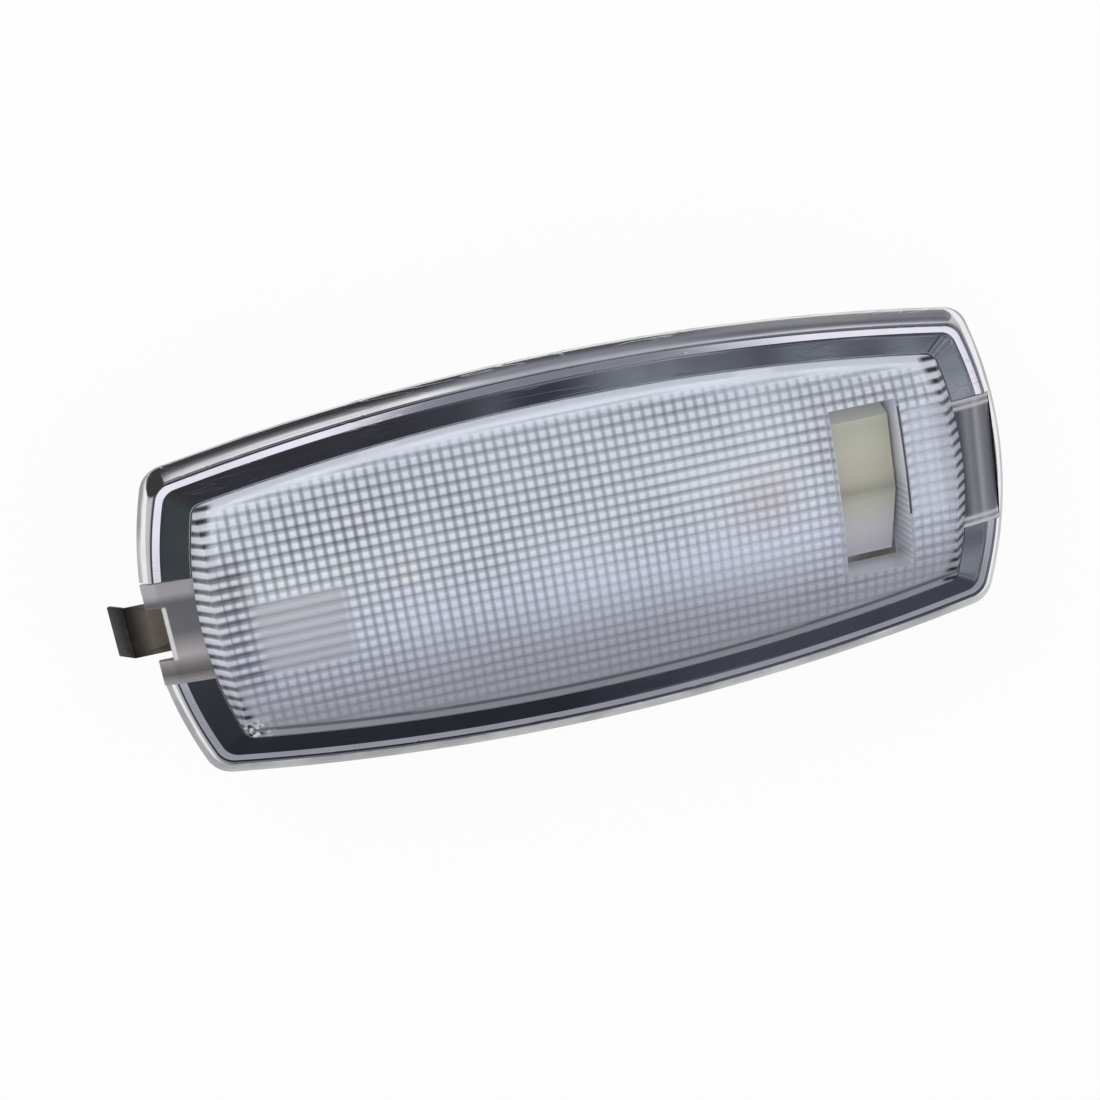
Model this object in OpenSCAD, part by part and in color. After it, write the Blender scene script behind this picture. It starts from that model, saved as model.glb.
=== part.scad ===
// Car dome light: barrel-shaped chrome frame, clear lens with crossed ribs,
// festoon bulb over a sheet reflector, and a rocker switch in a window of the lens.
// Lengths are millimetres. The flat back lies on z = 0 with its centre at the origin.
// +X runs along the lamp towards the switch, +Y across it, +Z out of the lens.
// The rocker is drawn as it stands when its -Y end is pressed in.

/* [Chrome frame outline] */
// Overall length of the frame
frame_l = 111.8; // [106:0.1:118]
// Overall width of the frame
frame_w = 48.6; // [47:0.1:52]
// How far each long side bows out past its corners
side_bow = 4.5; // [3.5:0.1:5.5]
// How far each end bows out past its corners
end_bow = 3.9; // [3:0.1:4.8]
// Radius of the outer corners
corner_r = 3.6; // [2.5:0.1:4.5]

/* [Chrome frame section] */
// Distance from the rim in to the crest at each end
crest_end_in = 1.9; // [1.4:0.05:2.4]
// Distance from the rim in to the crest along each long side
crest_side_in = 2.3; // [1.8:0.05:2.8]
// Bow of the crest line along each long side
crest_side_bow = 4.35; // [3.5:0.05:5]
// Bow of the crest line at each end
crest_end_bow = 3.5; // [3:0.05:4]
// Corner radius of the crest line
crest_corner_r = 2.4; // [1.6:0.1:3]
// Height of the crest above the roof lining
crest_h = 2.15; // [1.6:0.05:2.6]
// Distance from the rim in to the lens seat at each end
seat_end_in = 6.45; // [6:0.05:7]
// Distance from the rim in to the lens seat along each long side
seat_side_in = 5.4; // [5:0.05:6]
// Bow of the lens seat along each long side
seat_side_bow = 3.75; // [3.2:0.05:4.2]
// Bow of the lens seat at each end
seat_end_bow = 2.5; // [2.2:0.05:3]
// Corner radius of the lens seat
seat_corner_r = 1.7; // [1.4:0.1:2.2]
// Height of the lens seat above the roof lining
seat_h = 3; // [2.7:0.05:3.4]
// Sheet thickness of the frame
frame_t = 1.1; // [0.9:0.05:1.3]

/* [Lens] */
// Clearance between the lens and the frame's lip
lens_gap = 0.15; // [0.1:0.01:0.2]
// Wall thickness of the lens
lens_t = 2; // [1.6:0.1:2.2]
// Wall thickness of the lens skirt
skirt_t = 1.2; // [1:0.05:1.4]
// Height of the lens centre above the roof lining
lens_h = 6.3; // [6:0.05:6.8]
// Radius of the crown across the lens
crown_r = 66; // [60:1:80]
// Upright step of the lens edge above its seat
edge_step = 0.25; // [0.15:0.05:0.4]
// Width of the sloped shoulder along each long side
side_slope = 2.1; // [1.8:0.05:2.4]
// Height that the long shoulders would climb over that width
side_rise = 0.92; // [0.85:0.01:1]
// Width of the sloped shoulder at each end
end_slope = 2.4; // [2:0.1:2.8]
// Height that the end shoulders would climb over that width
end_rise = 3; // [2.6:0.1:3.4]
// Pitch of the long ribs on the outside
row_pitch = 1.4; // [1.3:0.01:1.5]
// Depth of the long ribs
row_depth = 0.3; // [0.2:0.01:0.35]
// Border of the ribbed field along each long side
field_side = 2.5; // [2.2:0.1:2.8]
// Pitch of the cross ribs on the inside
column_pitch = 1.33; // [1.28:0.01:1.36]
// Depth of the cross ribs
column_depth = 0.35; // [0.2:0.01:0.4]
// Border of the ribbed field at each end
field_end = 3.3; // [3:0.1:3.6]
// Width of the lug over the clip end of the frame
lug_w = 13; // [12:0.1:14]
// Width of the lug over the switch end of the frame
far_lug_w = 16.8; // [16:0.1:18]

/* [Switch] */
// Distance of the switch window's middle from the lens end
window_in = 13.45; // [13.2:0.05:13.7]
// Width of the window
window_w = 8.8; // [8.6:0.1:9.2]
// Length of the window as a share of the lens width
window_share = 0.582; // [0.56:0.001:0.6]
// Wall thickness of the shaft under the window
shaft_t = 1; // [0.8:0.05:1.1]
// Play between the rocker and each side of the window
rocker_gap = 0.4; // [0.3:0.02:0.5]
// Play between the rocker's ends and the window
rocker_end_gap = 0.65; // [0.5:0.05:0.8]
// Depth of the rocker's ridge below the lens crown
rocker_sink = 3.1; // [2.9:0.1:3.4]
// Slope of each half of the rocker
rocker_slope = 12; // [10:0.5:13]
// Tilt of the rocker to each side of its middle position
rocker_tilt = 12; // [10:0.5:12]
// Wall thickness of the rocker
rocker_t = 1.2; // [1:0.05:1.4]
// Depth of the pivot below the roof lining
pivot_drop = 2.5; // [2.3:0.05:2.7]
// Radius of the pivot pin
pin_r = 0.8; // [0.7:0.05:0.9]
// Radial play of the rocker on its pin
pin_play = 0.05; // [0.03:0.01:0.08]
// Thickness of the switch frame's cheeks
cheek_t = 1.2; // [1:0.05:1.3]
// Height of the rocker's lower edge above the pivot
rocker_edge = 0.6; // [0.4:0.05:0.8]
// Radius of the rocker's hub
hub_r = 2.1; // [1.9:0.05:2.3]
// Width of the square nose that holds the detent ball
nose_w = 3.6; // [3.4:0.1:3.8]
// Reach of the nose below the pivot
nose_l = 4; // [3.9:0.05:4.1]
// Radius of the detent ball
ball_r = 1.1; // [1:0.05:1.15]
// Distance of the ball's centre below the pivot
ball_drop = 4.2; // [4.1:0.05:4.3]
// Clearance between the ball and its rail
ball_play = 0.15; // [0.1:0.01:0.2]
// Depth of the three detent notches
notch_depth = 0.25; // [0.15:0.01:0.3]
// Radius of the detent spring's coil
coil_r = 0.75; // [0.6:0.05:0.85]
// Radius of the detent spring's wire
wire_r = 0.16; // [0.12:0.01:0.2]
// Width of the rocker's contact strip
bridge_w = 5.2; // [5:0.1:5.6]
// Length of the rocker's contact strip as a share of the window
bridge_share = 0.59; // [0.57:0.01:0.6]
// Distance of the contact strip below the pivot
bridge_drop = 2.1; // [2:0.05:2.2]
// Distance of the fixed contacts' tips from the rocker's middle, as a share of the window
finger_share = 0.277; // [0.27:0.001:0.285]
// Height of the fixed contacts' tips over the switch frame's base
finger_h = 1.6; // [1.4:0.05:1.7]
// Width of the fixed contacts
finger_w = 4; // [3.8:0.1:4.2]
// Distance of the switch rivets from the rocker's middle, as a share of the window
rivet_share = 0.391; // [0.385:0.001:0.4]

/* [Housing] */
// Depth of the housing behind the roof lining
housing_depth = 17; // [16.8:0.1:18]
// Wall thickness of the housing
housing_t = 1.4; // [1.2:0.05:1.6]
// Thickness of the housing's floor
floor_t = 1.6; // [1.4:0.05:1.8]
// Height of the raised floors at both ends
step_h = 6; // [5.8:0.1:6.2]
// Room for the supply rivet between the tower and the deep middle part
supply_room = 6.5; // [6.3:0.1:6.8]
// Room for the right contact's rivet between the deep part and the switch
link_room = 4; // [3.9:0.05:4.2]
// Depth of the flange top below the roof lining
flange_drop = 1.3; // [1.2:0.05:1.4]
// Thickness of the flange
flange_t = 1.3; // [1.2:0.05:1.4]
// Height of the housing wall inside the lens, above the roof lining
wall_rise = 1; // [0.8:0.05:1.1]
// Width of the fixed tongue at the switch end
tongue_w = 12; // [11:0.1:13]
// Distance of the tongue's end in from the frame's end
tongue_in = 3.4; // [3:0.1:3.8]
// Thickness of the tongue
tongue_t = 1.3; // [1.2:0.05:1.5]
// Drop of the tongue and of the clip below the flange top
grip_drop = 0.3; // [0.2:0.05:0.4]
// Distance of the tower from the lens end
tower_in = 7.45; // [7.2:0.05:7.7]
// Length of the tower
tower_l = 10; // [9.6:0.1:10.4]
// Lower side of the tower
tower_y0 = -6; // [-6.4:0.1:-5.6]
// Upper side of the tower
tower_y1 = 2; // [1.6:0.1:2.4]
// Height of the tower above the roof lining
tower_h = 3.3; // [3:0.1:3.5]
// Distance of the boss's outer end from the lens end
boss_in = 2.3; // [2.2:0.05:2.6]
// Length of the boss
boss_l = 4; // [3.6:0.1:4.2]
// Lower side of the boss
boss_y0 = -4.8; // [-5.2:0.1:-4.4]
// Upper side of the boss
boss_y1 = 7.6; // [7.2:0.1:8]
// Height of the boss above the roof lining
boss_h = 1.15; // [1:0.05:1.2]
// Length of the snap windows in the lens skirt
snap_l = 6; // [5.6:0.1:6.4]
// Height of the snap windows
snap_h = 1; // [0.9:0.05:1.1]
// How far the snap bumps stand out of the housing
snap_out = 0.5; // [0.4:0.05:0.6]
// Distance of the snap bumps from the lamp's middle, as a share of the lens length
snap_at_share = 0.243; // [0.22:0.001:0.26]
// Clearance between the reflector and the housing walls at mid-length
reflector_gap = 1.4; // [1.3:0.05:1.8]
// Distance between the reflector's pegs as a share of the deep part
peg_share = 0.4; // [0.35:0.01:0.45]
// Radius of the reflector's pegs
peg_r = 1; // [0.9:0.05:1.1]
// Radius of the rivet shanks
rivet_r = 0.9; // [0.8:0.05:1]
// Radius of the rivet heads
head_r = 1.7; // [1.5:0.05:1.9]
// Height of the rivet heads
head_t = 0.8; // [0.6:0.05:0.9]
// Width of the terminal blades
terminal_w = 4.8; // [4.6:0.1:5]
// Thickness of the terminal blades
terminal_t = 0.5; // [0.45:0.01:0.6]

/* [Bulb] */
// Room between the deep part's end and the bulb's tip on the clip side
tip_room = 4.5; // [4.4:0.05:4.7]
// Radius of the glass
glass_r = 5.25; // [5:0.05:5.5]
// Wall thickness of the glass
glass_t = 0.6; // [0.5:0.05:0.8]
// Radius of the glass neck in the caps
neck_r = 2.9; // [2.8:0.05:3]
// Length of each rounded end of the glass
shoulder_l = 3; // [2.6:0.1:3.4]
// Height of the bulb's axis above the flat back
bulb_z = 9.8; // [9.6:0.1:10.2]
// Room between the bulb's tip and the deep part's end on the switch side
far_tip_room = 4; // [3.9:0.05:4.2]
// Radius of the end caps
cap_r = 3.6; // [3.4:0.05:3.8]
// Length of each cap without its cone
cap_l = 4.3; // [4:0.1:4.6]
// Length of the cones at the bulb's ends
cone_l = 3; // [2.8:0.1:3.2]
// Radius of the cones where they leave the caps
cone_r = 3.2; // [3:0.05:3.4]
// Radius of the cones' tips
tip_r = 0.9; // [0.8:0.05:1]
// Length of the filament's coil
filament_l = 8; // [7:0.1:9]
// Radius of the filament's coil
filament_r = 0.6; // [0.5:0.05:0.7]
// Radius of the filament's wire
filament_wire_r = 0.14; // [0.1:0.01:0.16]
// Width of the bulb's contacts
blade_w = 6; // [5.8:0.1:6.4]
// Height of the contact blades above the raised floor
blade_h = 6.4; // [6:0.1:6.8]
// Radius of the holes that hold the cones
blade_hole_r = 1.3; // [1.25:0.01:1.35]
// Thickness of the contact strips
strip_t = 0.4; // [0.35:0.01:0.45]

/* [Spring clip] */
// Width of the clip where it leaves the lamp
clip_w = 6.6; // [6.2:0.1:7]
// Sheet thickness of the clip
clip_t = 0.6; // [0.5:0.05:0.7]
// How far the flat of the clip reaches past the frame
clip_reach = 2.6; // [2:0.1:3]
// Length of the clip's bent lead-in
clip_lead = 3.4; // [3:0.1:4]
// Angle of the bent lead-in
clip_bend = 48; // [40:1:55]
// Distance of the clip's rivet from the lens end
clip_rivet_in = 4.75; // [4.6:0.05:4.9]

/* [Hidden] */
// Facets that stand in for a full turn, on small and on very large radii
$fn = 96;
arc_fn = 720;
// Segments of one quarter of a loop: end, corner and long side
end_n = 6;
corner_n = 5;
side_n = 12;
// One overrun serves all cuts
over = 1;
// Clearance between pieces that sit in each other
fit = 0.1;

// Heights
base_z = housing_depth;
seat_z = base_z + seat_h;
lens_z = base_z + lens_h;
pivot_z = base_z - pivot_drop;
floor_z = step_h + floor_t;
flange_z = base_z - flange_drop;

// An outline is its corner half length, corner half width, two bows and a corner radius
function outline(l, w, sb, eb, r) = [l / 2 - eb, w / 2 - sb, sb, eb, r];
rim = outline(frame_l, frame_w, side_bow, end_bow, corner_r);
crest = outline(frame_l - 2 * crest_end_in, frame_w - 2 * crest_side_in,
    crest_side_bow, crest_end_bow, crest_corner_r);
seat_l = frame_l - 2 * seat_end_in;
seat_w = frame_w - 2 * seat_side_in;
seat = outline(seat_l, seat_w, seat_side_bow, seat_end_bow, seat_corner_r);
function seat_in(d) = outline(seat_l - 2 * d, seat_w - 2 * d, seat_side_bow, seat_end_bow,
    max(seat_corner_r - d, seat_corner_r * small_share));
small_share = 0.3;

// Places along the lamp: the pieces at both ends keep their distance, and the bulb fills the rest
window_x = seat_l / 2 - window_in;
window_l = seat_w * window_share;
leg_x = window_x - window_w / 2 - shaft_t * 2;
deep_x1 = leg_x - link_room - floor_t;
link_x = deep_x1 + floor_t + head_r + fit;
boss_x1 = seat_l / 2 - boss_in;
boss_x0 = boss_x1 - boss_l;
tongue_x = frame_l / 2 - tongue_in;
tower_x0 = -seat_l / 2 + tower_in;
tower_x1 = tower_x0 + tower_l;
deep_x0 = tower_x1 + supply_room;
supply_x = deep_x0 - floor_t - terminal_w / 2 - fit;
clip_rivet_x = -seat_l / 2 + clip_rivet_in;
bulb_l = deep_x1 - far_tip_room - deep_x0 - tip_room;
bulb_x = deep_x0 + tip_room + bulb_l / 2;
deep_mid_x = (deep_x0 + deep_x1) / 2;
peg_gap = (deep_x1 - deep_x0) * peg_share;
snap_x = seat_l * snap_at_share;
cap_share = 0.28;
cap_bite = cap_l * cap_share;
glass_l = bulb_l - 2 * (cone_l + cap_l - cap_bite);
reflector_r = seat_w / 2 - 2 * lens_gap - skirt_t - housing_t - reflector_gap;
bridge_l = window_l * bridge_share;
finger_y = window_l * finger_share;
rivet_y = window_l * rivet_share;
row_n = floor((seat_w - 2 * field_side) / row_pitch);
column_n = floor((seat_l - 2 * field_end) / column_pitch);

// Radius of an arc over a half chord h with rise s
function arc_r(h, s) = (h * h + s * s) / (2 * s);
function side_r(o) = arc_r(o[0], o[2]);
function side_c(o) = o[1] + o[2] - side_r(o);
function end_r(o) = arc_r(o[1], o[3]);
function end_c(o) = o[0] + o[3] - end_r(o);
// Centre of the corner fillet, where the two arcs moved in by its radius cross
function fillet_c(o) = let(
    a = [0, side_c(o)],
    b = [end_c(o), 0],
    d = norm(b - a),
    ra = side_r(o) - o[4],
    rb = end_r(o) - o[4],
    u = (b - a) / d,
    k = (ra * ra - rb * rb + d * d) / (2 * d),
    h = sqrt(ra * ra - k * k))
    a + k * u + h * [u[1], -u[0]];
// Points of one quarter, from the end's middle to the long side's middle
function quarter(o) = let(
    c = fillet_c(o),
    a_end = atan2(c[1], c[0] - end_c(o)),
    a_side = atan2(c[1] - side_c(o), c[0]))
    concat(
        [for (i = [0:end_n - 1]) let(a = a_end * i / end_n)
            [end_c(o) + end_r(o) * cos(a), end_r(o) * sin(a)]],
        [for (i = [0:corner_n - 1]) let(a = a_end + (a_side - a_end) * i / corner_n)
            c + o[4] * [cos(a), sin(a)]],
        [for (i = [0:side_n]) let(a = a_side + (90 - a_side) * i / side_n)
            [side_r(o) * cos(a), side_c(o) + side_r(o) * sin(a)]]);
function loop(o) = let(q = quarter(o), n = len(q) - 1) concat(q,
    [for (i = [n - 1:-1:0]) [-q[i][0], q[i][1]]],
    [for (i = [1:n]) [-q[i][0], -q[i][1]]],
    [for (i = [n - 1:-1:1]) [q[i][0], -q[i][1]]]);

// A closed ring through a list of levels, each an outline and a height
module ring_loft(levels) {
    n = len(loop(levels[0][0]));
    m = len(levels);
    points = [for (l = levels) for (p = loop(l[0])) [p[0], p[1], l[1]]];
    faces = [for (j = [0:m - 1]) for (i = [0:n - 1])
        let(a = j * n + i, b = j * n + (i + 1) % n,
            c = (j + 1) % m * n + (i + 1) % n, d = (j + 1) % m * n + i)
        each [[a, c, b], [a, d, c]]];
    polyhedron(points = points, faces = faces, convexity = 6);
}

module prism(o, z0, z1) {
    translate([0, 0, z0]) linear_extrude(height = z1 - z0) polygon(loop(o));
}
module block(x, y, z) {
    translate([x[0], y[0], z[0]]) cube([x[1] - x[0], y[1] - y[0], z[1] - z[0]]);
}
// A profile in the lamp's length and height, w wide and centred across the lamp
module across(w, y = 0) {
    translate([0, y + w / 2, 0]) rotate([90, 0, 0]) linear_extrude(height = w) children();
}
// A profile across the lamp and up, from x0 to x1
module along(x0, x1) {
    translate([x0, 0, 0]) rotate([90, 0, 90]) linear_extrude(height = x1 - x0) children();
}
module rod_x(x0, x1, y, z, r) {
    translate([x0, y, z]) rotate([0, 90, 0]) cylinder(r = r, h = x1 - x0);
}

// Chrome frame: the shares give the place between rim, crest and seat, and the height
function between(u) = u < 1 ? rim + u * (crest - rim) : crest + (u - 1) * (seat - crest);
// Outer wall, as shares of the way to the crest and of its height
wall_shares = [[0.1, 0.18], [0.25, 0.4], [0.4, 0.58], [0.56, 0.74], [0.73, 0.87], [0.9, 0.945]];
// Flat land on top of the crest, as shares of the way to the seat and of the crest's height
crest_shares = [[1.02, 0.98], [1.19, 1]];
rim_share = 0.55;
under_share = 1.05;
lip_share = 1.8;
rim_edge = crest_end_in * rim_share / 2;
module bezel() {
    color([0.75, 0.76, 0.78]) difference() {
        ring_loft(concat(
            [[rim, base_z]],
            [for (s = wall_shares) [between(s[0]), base_z + s[1] * crest_h]],
            [for (s = crest_shares) [between(s[0]), base_z + s[1] * crest_h]],
            [[seat, seat_z], [seat, flange_z], [between(lip_share), flange_z],
                [between(lip_share), seat_z - frame_t],
                [between(under_share), base_z + crest_h - frame_t],
                [between(rim_share), base_z]]));
        // Gap that the clip-end lug and the housing's tunnel fill
        block([-frame_l, -seat_l / 2 + over], [-lug_w / 2 - fit, lug_w / 2 + fit],
            [flange_z - over, lens_z]);
        // Pocket for the lug at the switch end
        block([seat_l / 2 - over, far_lug_x + fit], [-far_lug_w / 2 - fit, far_lug_w / 2 + fit],
            [lug_z - fit, lens_z]);
    }
    // Recessed floor under the far lug
    color([0.75, 0.76, 0.78]) block([seat_l / 2 + frame_t / 2, far_lug_x + frame_t / 2],
        [-far_lug_w / 2 - frame_t / 2, far_lug_w / 2 + frame_t / 2], [base_z + fit, lug_z - fit]);
}

// Lens
lug_share = 0.4;
lug_top_shares = [0.75, 1.08];
lug_bend_share = 0.72;
far_lug_share = 0.9;
mouth_share = 0.62;
land_share = 0.1;
shaft_share = 0.24;
pad_share = 0.6;
lug_z = base_z + crest_h * lug_share;
far_lug_x = frame_l / 2 - crest_end_in * far_lug_share;
near_lug_x = frame_l / 2 - rim_edge;
lens_o = seat_in(lens_gap);
core_o = seat_in(lens_gap + skirt_t);
crown_z = lens_z - crown_r;
shaft_z = base_z - pivot_drop * shaft_share;
// An outline drawn in as its slopes climb by rise
function lean(o, rise) = [o[0] - rise * end_slope / end_rise,
    o[1] - rise * side_slope / side_rise, o[2], o[3], o[4]];
// Solid with upright walls and the sloped shoulders above them
module shoulders(o, drop, z0) {
    edge_z = seat_z + edge_step - drop;
    rise = lens_h + over - seat_h - edge_step;
    levels = [[o, z0], [o, edge_z], [lean(o, rise), edge_z + rise]];
    n = len(loop(o));
    points = [for (l = levels) for (p = loop(l[0])) [p[0], p[1], l[1]]];
    sides = [for (j = [0:1]) for (i = [0:n - 1])
        let(a = j * n + i, b = j * n + (i + 1) % n)
        each [[a, b + n, b], [a, a + n, b + n]]];
    polyhedron(points = points, faces = concat(sides, [[for (i = [0:n - 1]) i]],
        [[for (i = [3 * n - 1:-1:2 * n]) i]]), convexity = 4);
}
// Ribs are shares of the pitch and of the depth
rib_shares = [[0, 1], [0.2, 0.36], [0.5, 0], [0.8, 0.36]];
function crown_at(y) = crown_z + sqrt(crown_r * crown_r - y * y);
function rib_drop(s, depth) = depth * (land_share + s * (1 - land_share));
module ribbed_crown() {
    y0 = -row_n * row_pitch / 2;
    y1 = seat_w / 2;
    curve = [for (i = [0:row_n - 1]) for (s = rib_shares)
        let(y = y0 + (i + s[0]) * row_pitch) [y, crown_at(y) - rib_drop(s[1], row_depth)]];
    along(-frame_l / 2, frame_l / 2)
        polygon(concat([[-y1, flange_z - over], [-y1, crown_at(y1)]], curve,
            [[-y0, crown_at(y0) - row_depth], [y1, crown_at(y1)], [y1, flange_z - over]]));
}
module crown_rod(r) {
    translate([-frame_l / 2, 0, crown_z]) rotate([0, 90, 0])
        cylinder(r = r, h = frame_l, $fn = arc_fn);
}
column_shares = [[0, 1], [0.5, 0]];
module column_cutter() {
    x0 = -column_n * column_pitch / 2;
    r = crown_r - lens_t;
    curve = [for (i = [0:column_n - 1]) for (s = column_shares)
        [r + rib_drop(s[1], column_depth), x0 + (i + s[0]) * column_pitch]];
    intersection() {
        translate([0, 0, crown_z]) rotate([0, 90, 0]) rotate_extrude($fn = arc_fn)
            polygon(concat([[r - over, x0]], curve,
                [[r + column_depth, -x0], [r - over, -x0]]));
        prism(seat_in(lens_gap + skirt_t + side_slope), base_z, lens_z);
    }
}
module window_block(grow, z0, z1) {
    block([window_x - window_w / 2 - grow, window_x + window_w / 2 + grow],
        [-window_l / 2 - grow, window_l / 2 + grow], [z0, z1]);
}
module lug(w, x1) {
    x0 = seat_l / 2 - skirt_t;
    bend_x = seat_l / 2 + (x1 - seat_l / 2) * lug_bend_share;
    across(w) polygon([[x0, lug_z], [x1, lug_z], [x1, base_z + crest_h * lug_top_shares[0]],
        [bend_x, base_z + crest_h * lug_top_shares[1]], [x0, seat_z + edge_step]]);
}
// Four places on the long sides, turned to follow their bow
module on_sides() {
    a = asin(snap_x / side_r(lens_o));
    for (mx = [0, 1]) for (my = [0, 1]) mirror([mx, 0, 0]) mirror([0, my, 0])
        translate([0, side_c(lens_o), base_z]) rotate([0, 0, -a]) translate([0, side_r(lens_o), 0])
            children();
}
module lens() {
    color([0.86, 0.88, 0.9]) difference() {
        union() {
            intersection() {
                shoulders(lens_o, 0, flange_z);
                ribbed_crown();
            }
            intersection() {
                crown_rod(crown_r);
                window_block(shaft_t * pad_share, base_z, lens_z + over);
            }
            mirror([1, 0, 0]) lug(lug_w, near_lug_x);
            lug(far_lug_w, far_lug_x);
        }
        difference() {
            union() {
                intersection() {
                    shoulders(core_o, lens_t, flange_z - over);
                    crown_rod(crown_r - lens_t);
                }
                column_cutter();
            }
            window_block(shaft_t, shaft_z, lens_z + over);
        }
        window_block(0, shaft_z - over, lens_z + over);
        // Mouth of the spring clip
        block([-frame_l, -seat_l / 2 - seat_end_in * mouth_share],
            [-clip_w / 2 - fit, clip_w / 2 + fit], [0, lens_z]);
        on_sides() block([-snap_l / 2, snap_l / 2], [-skirt_t - over, over], [-snap_h / 2, snap_h / 2]);
    }
}

// Housing
house_o = seat_in(lens_gap + skirt_t + lens_gap);
house_in_o = seat_in(lens_gap + skirt_t + lens_gap + housing_t);
lip_o = between(lip_share);
flange_out_share = 0.3;
function wider(o, d) = [o[0] + d, o[1] + d, o[2], o[3], o[4]];
wall_z = base_z + wall_rise;
grip_z = flange_z - grip_drop;
clip_z = grip_z - clip_t;
snap_share = 0.8;
module stepped(x0, x1, z0, z_raised, z1) {
    across(frame_w) polygon([[-frame_l, z_raised], [x0, z_raised], [x0, z0], [x1, z0],
        [x1, z_raised], [frame_l, z_raised], [frame_l, z1], [-frame_l, z1]]);
}
module rivet_hole(x, y, z0, z1) {
    translate([x, y, z0]) cylinder(r = rivet_r + fit / 2, h = z1 - z0);
}
module housing() {
    shelf_x0 = -seat_l / 2 + lens_gap + skirt_t + housing_t;
    color([0.93, 0.93, 0.91]) difference() {
        union() {
            difference() {
                union() {
                    intersection() {
                        prism(house_o, 0, wall_z);
                        stepped(deep_x0 - floor_t, deep_x1 + floor_t, 0, step_h, wall_z + over);
                    }
                    prism(wider(lip_o, housing_t * flange_out_share), flange_z - flange_t, flange_z);
                }
                intersection() {
                    prism(house_in_o, 0, wall_z + over);
                    stepped(deep_x0, deep_x1, floor_t, floor_z, wall_z + over);
                }
            }
            // Shelf that carries the clip
            block([shelf_x0 - housing_t / 2, tower_x0 + over], [-clip_w / 2 - housing_t, clip_w / 2 + housing_t],
                [step_h, clip_z]);
            block([tower_x0, tower_x1], [tower_y0, tower_y1], [step_h, base_z + tower_h]);
            block([boss_x0, boss_x1], [boss_y0, boss_y1], [step_h, base_z + boss_h]);
            block([boss_x1 - over, tongue_x], [-tongue_w / 2, tongue_w / 2], [grip_z - tongue_t, grip_z]);
            // Tunnel that covers the clip up to the lug's mouth
            block([-seat_l / 2 - seat_end_in * mouth_share, -seat_l / 2 + lens_gap / 3], [-lug_w / 2 + fit, lug_w / 2 - fit],
                [flange_z - flange_t, lug_z - fit]);
            for (m = [-1, 1]) translate([deep_mid_x + m * peg_gap / 2, 0, floor_t / 2])
                cylinder(r = peg_r, h = floor_t / 2 + strip_t + peg_r / 2);
            on_sides() block([-snap_l * snap_share / 2, snap_l * snap_share / 2],
                [-skirt_t - lens_gap - housing_t / 2, snap_out - skirt_t - lens_gap],
                [-snap_h * snap_share / 2, snap_h * snap_share / 2]);
        }
        // Hollow of the tower, open at the back
        block([tower_x0 + housing_t, tower_x1 - housing_t], [tower_y0 + housing_t, tower_y1 - housing_t],
            [0, base_z + tower_h - housing_t]);
        // Slot of the clip through the end wall and the flange
        block([-frame_l, shelf_x0 + over], [-clip_w / 2 - grip_drop, clip_w / 2 + grip_drop],
            [clip_z, grip_z + fit]);
        rivet_hole(clip_rivet_x, 0, clip_z - flange_t * 3, clip_z + over);
        rivet_hole(supply_x, 0, 0, floor_z + over);
        rivet_hole(link_x, 0, 0, floor_z + over);
        for (m = [0, 1]) mirror([0, m, 0]) rivet_hole(window_x, rivet_y, 0, floor_z + over);
    }
}
module reflector() {
    axis_z = floor_t + reflector_r;
    color([0.8, 0.82, 0.84]) difference() {
        rod_x(deep_x0 + grip_drop, deep_x1 - grip_drop, 0, axis_z, reflector_r);
        rod_x(deep_x0 - over, deep_x1 + over, 0, axis_z, reflector_r - strip_t);
        block([deep_x0 - over, deep_x1 + over], [-frame_w, frame_w],
            [min(axis_z, grip_z) - fit, axis_z + 2 * reflector_r]);
        for (m = [-1, 1]) translate([deep_mid_x + m * peg_gap / 2, 0, 0])
            cylinder(r = peg_r + fit, h = floor_z);
    }
}

// Spring clip
module spring_clip() {
    x1 = -frame_l / 2 - clip_reach;
    c = cos(clip_bend);
    s = sin(clip_bend);
    // Inner corner of the mitred bend
    k = clip_t * tan(clip_bend / 2);
    color([0.32, 0.3, 0.28]) difference() {
        across(clip_w) polygon([[tower_x0 - fit, clip_z], [tower_x0 - fit, grip_z], [x1, grip_z],
            [x1 - clip_lead * c, grip_z - clip_lead * s],
            [x1 - clip_lead * c + clip_t * s, grip_z - clip_lead * s - clip_t * c],
            [x1 + k, clip_z]]);
        rivet_hole(clip_rivet_x, 0, clip_z - over, grip_z + over);
    }
}
module rivet(x, y, z_foot, z0, z1, r = head_r) {
    translate([x, y, z_foot]) cylinder(r = rivet_r, h = z1 - z_foot + head_t / 2);
    translate([x, y, z1]) cylinder(r = r, h = head_t);
    if (z0 < z1) translate([x, y, z0 - head_t]) cylinder(r = r, h = head_t);
}
module clip_rivet() {
    color([0.6, 0.6, 0.58]) rivet(clip_rivet_x, 0, clip_z - flange_t * 2, grip_z, grip_z);
}

// Bulb, drawn with its middle at the origin and its axis along X
module on_bulb() {
    translate([bulb_x, 0, bulb_z]) children();
}
round_n = 8;
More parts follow.
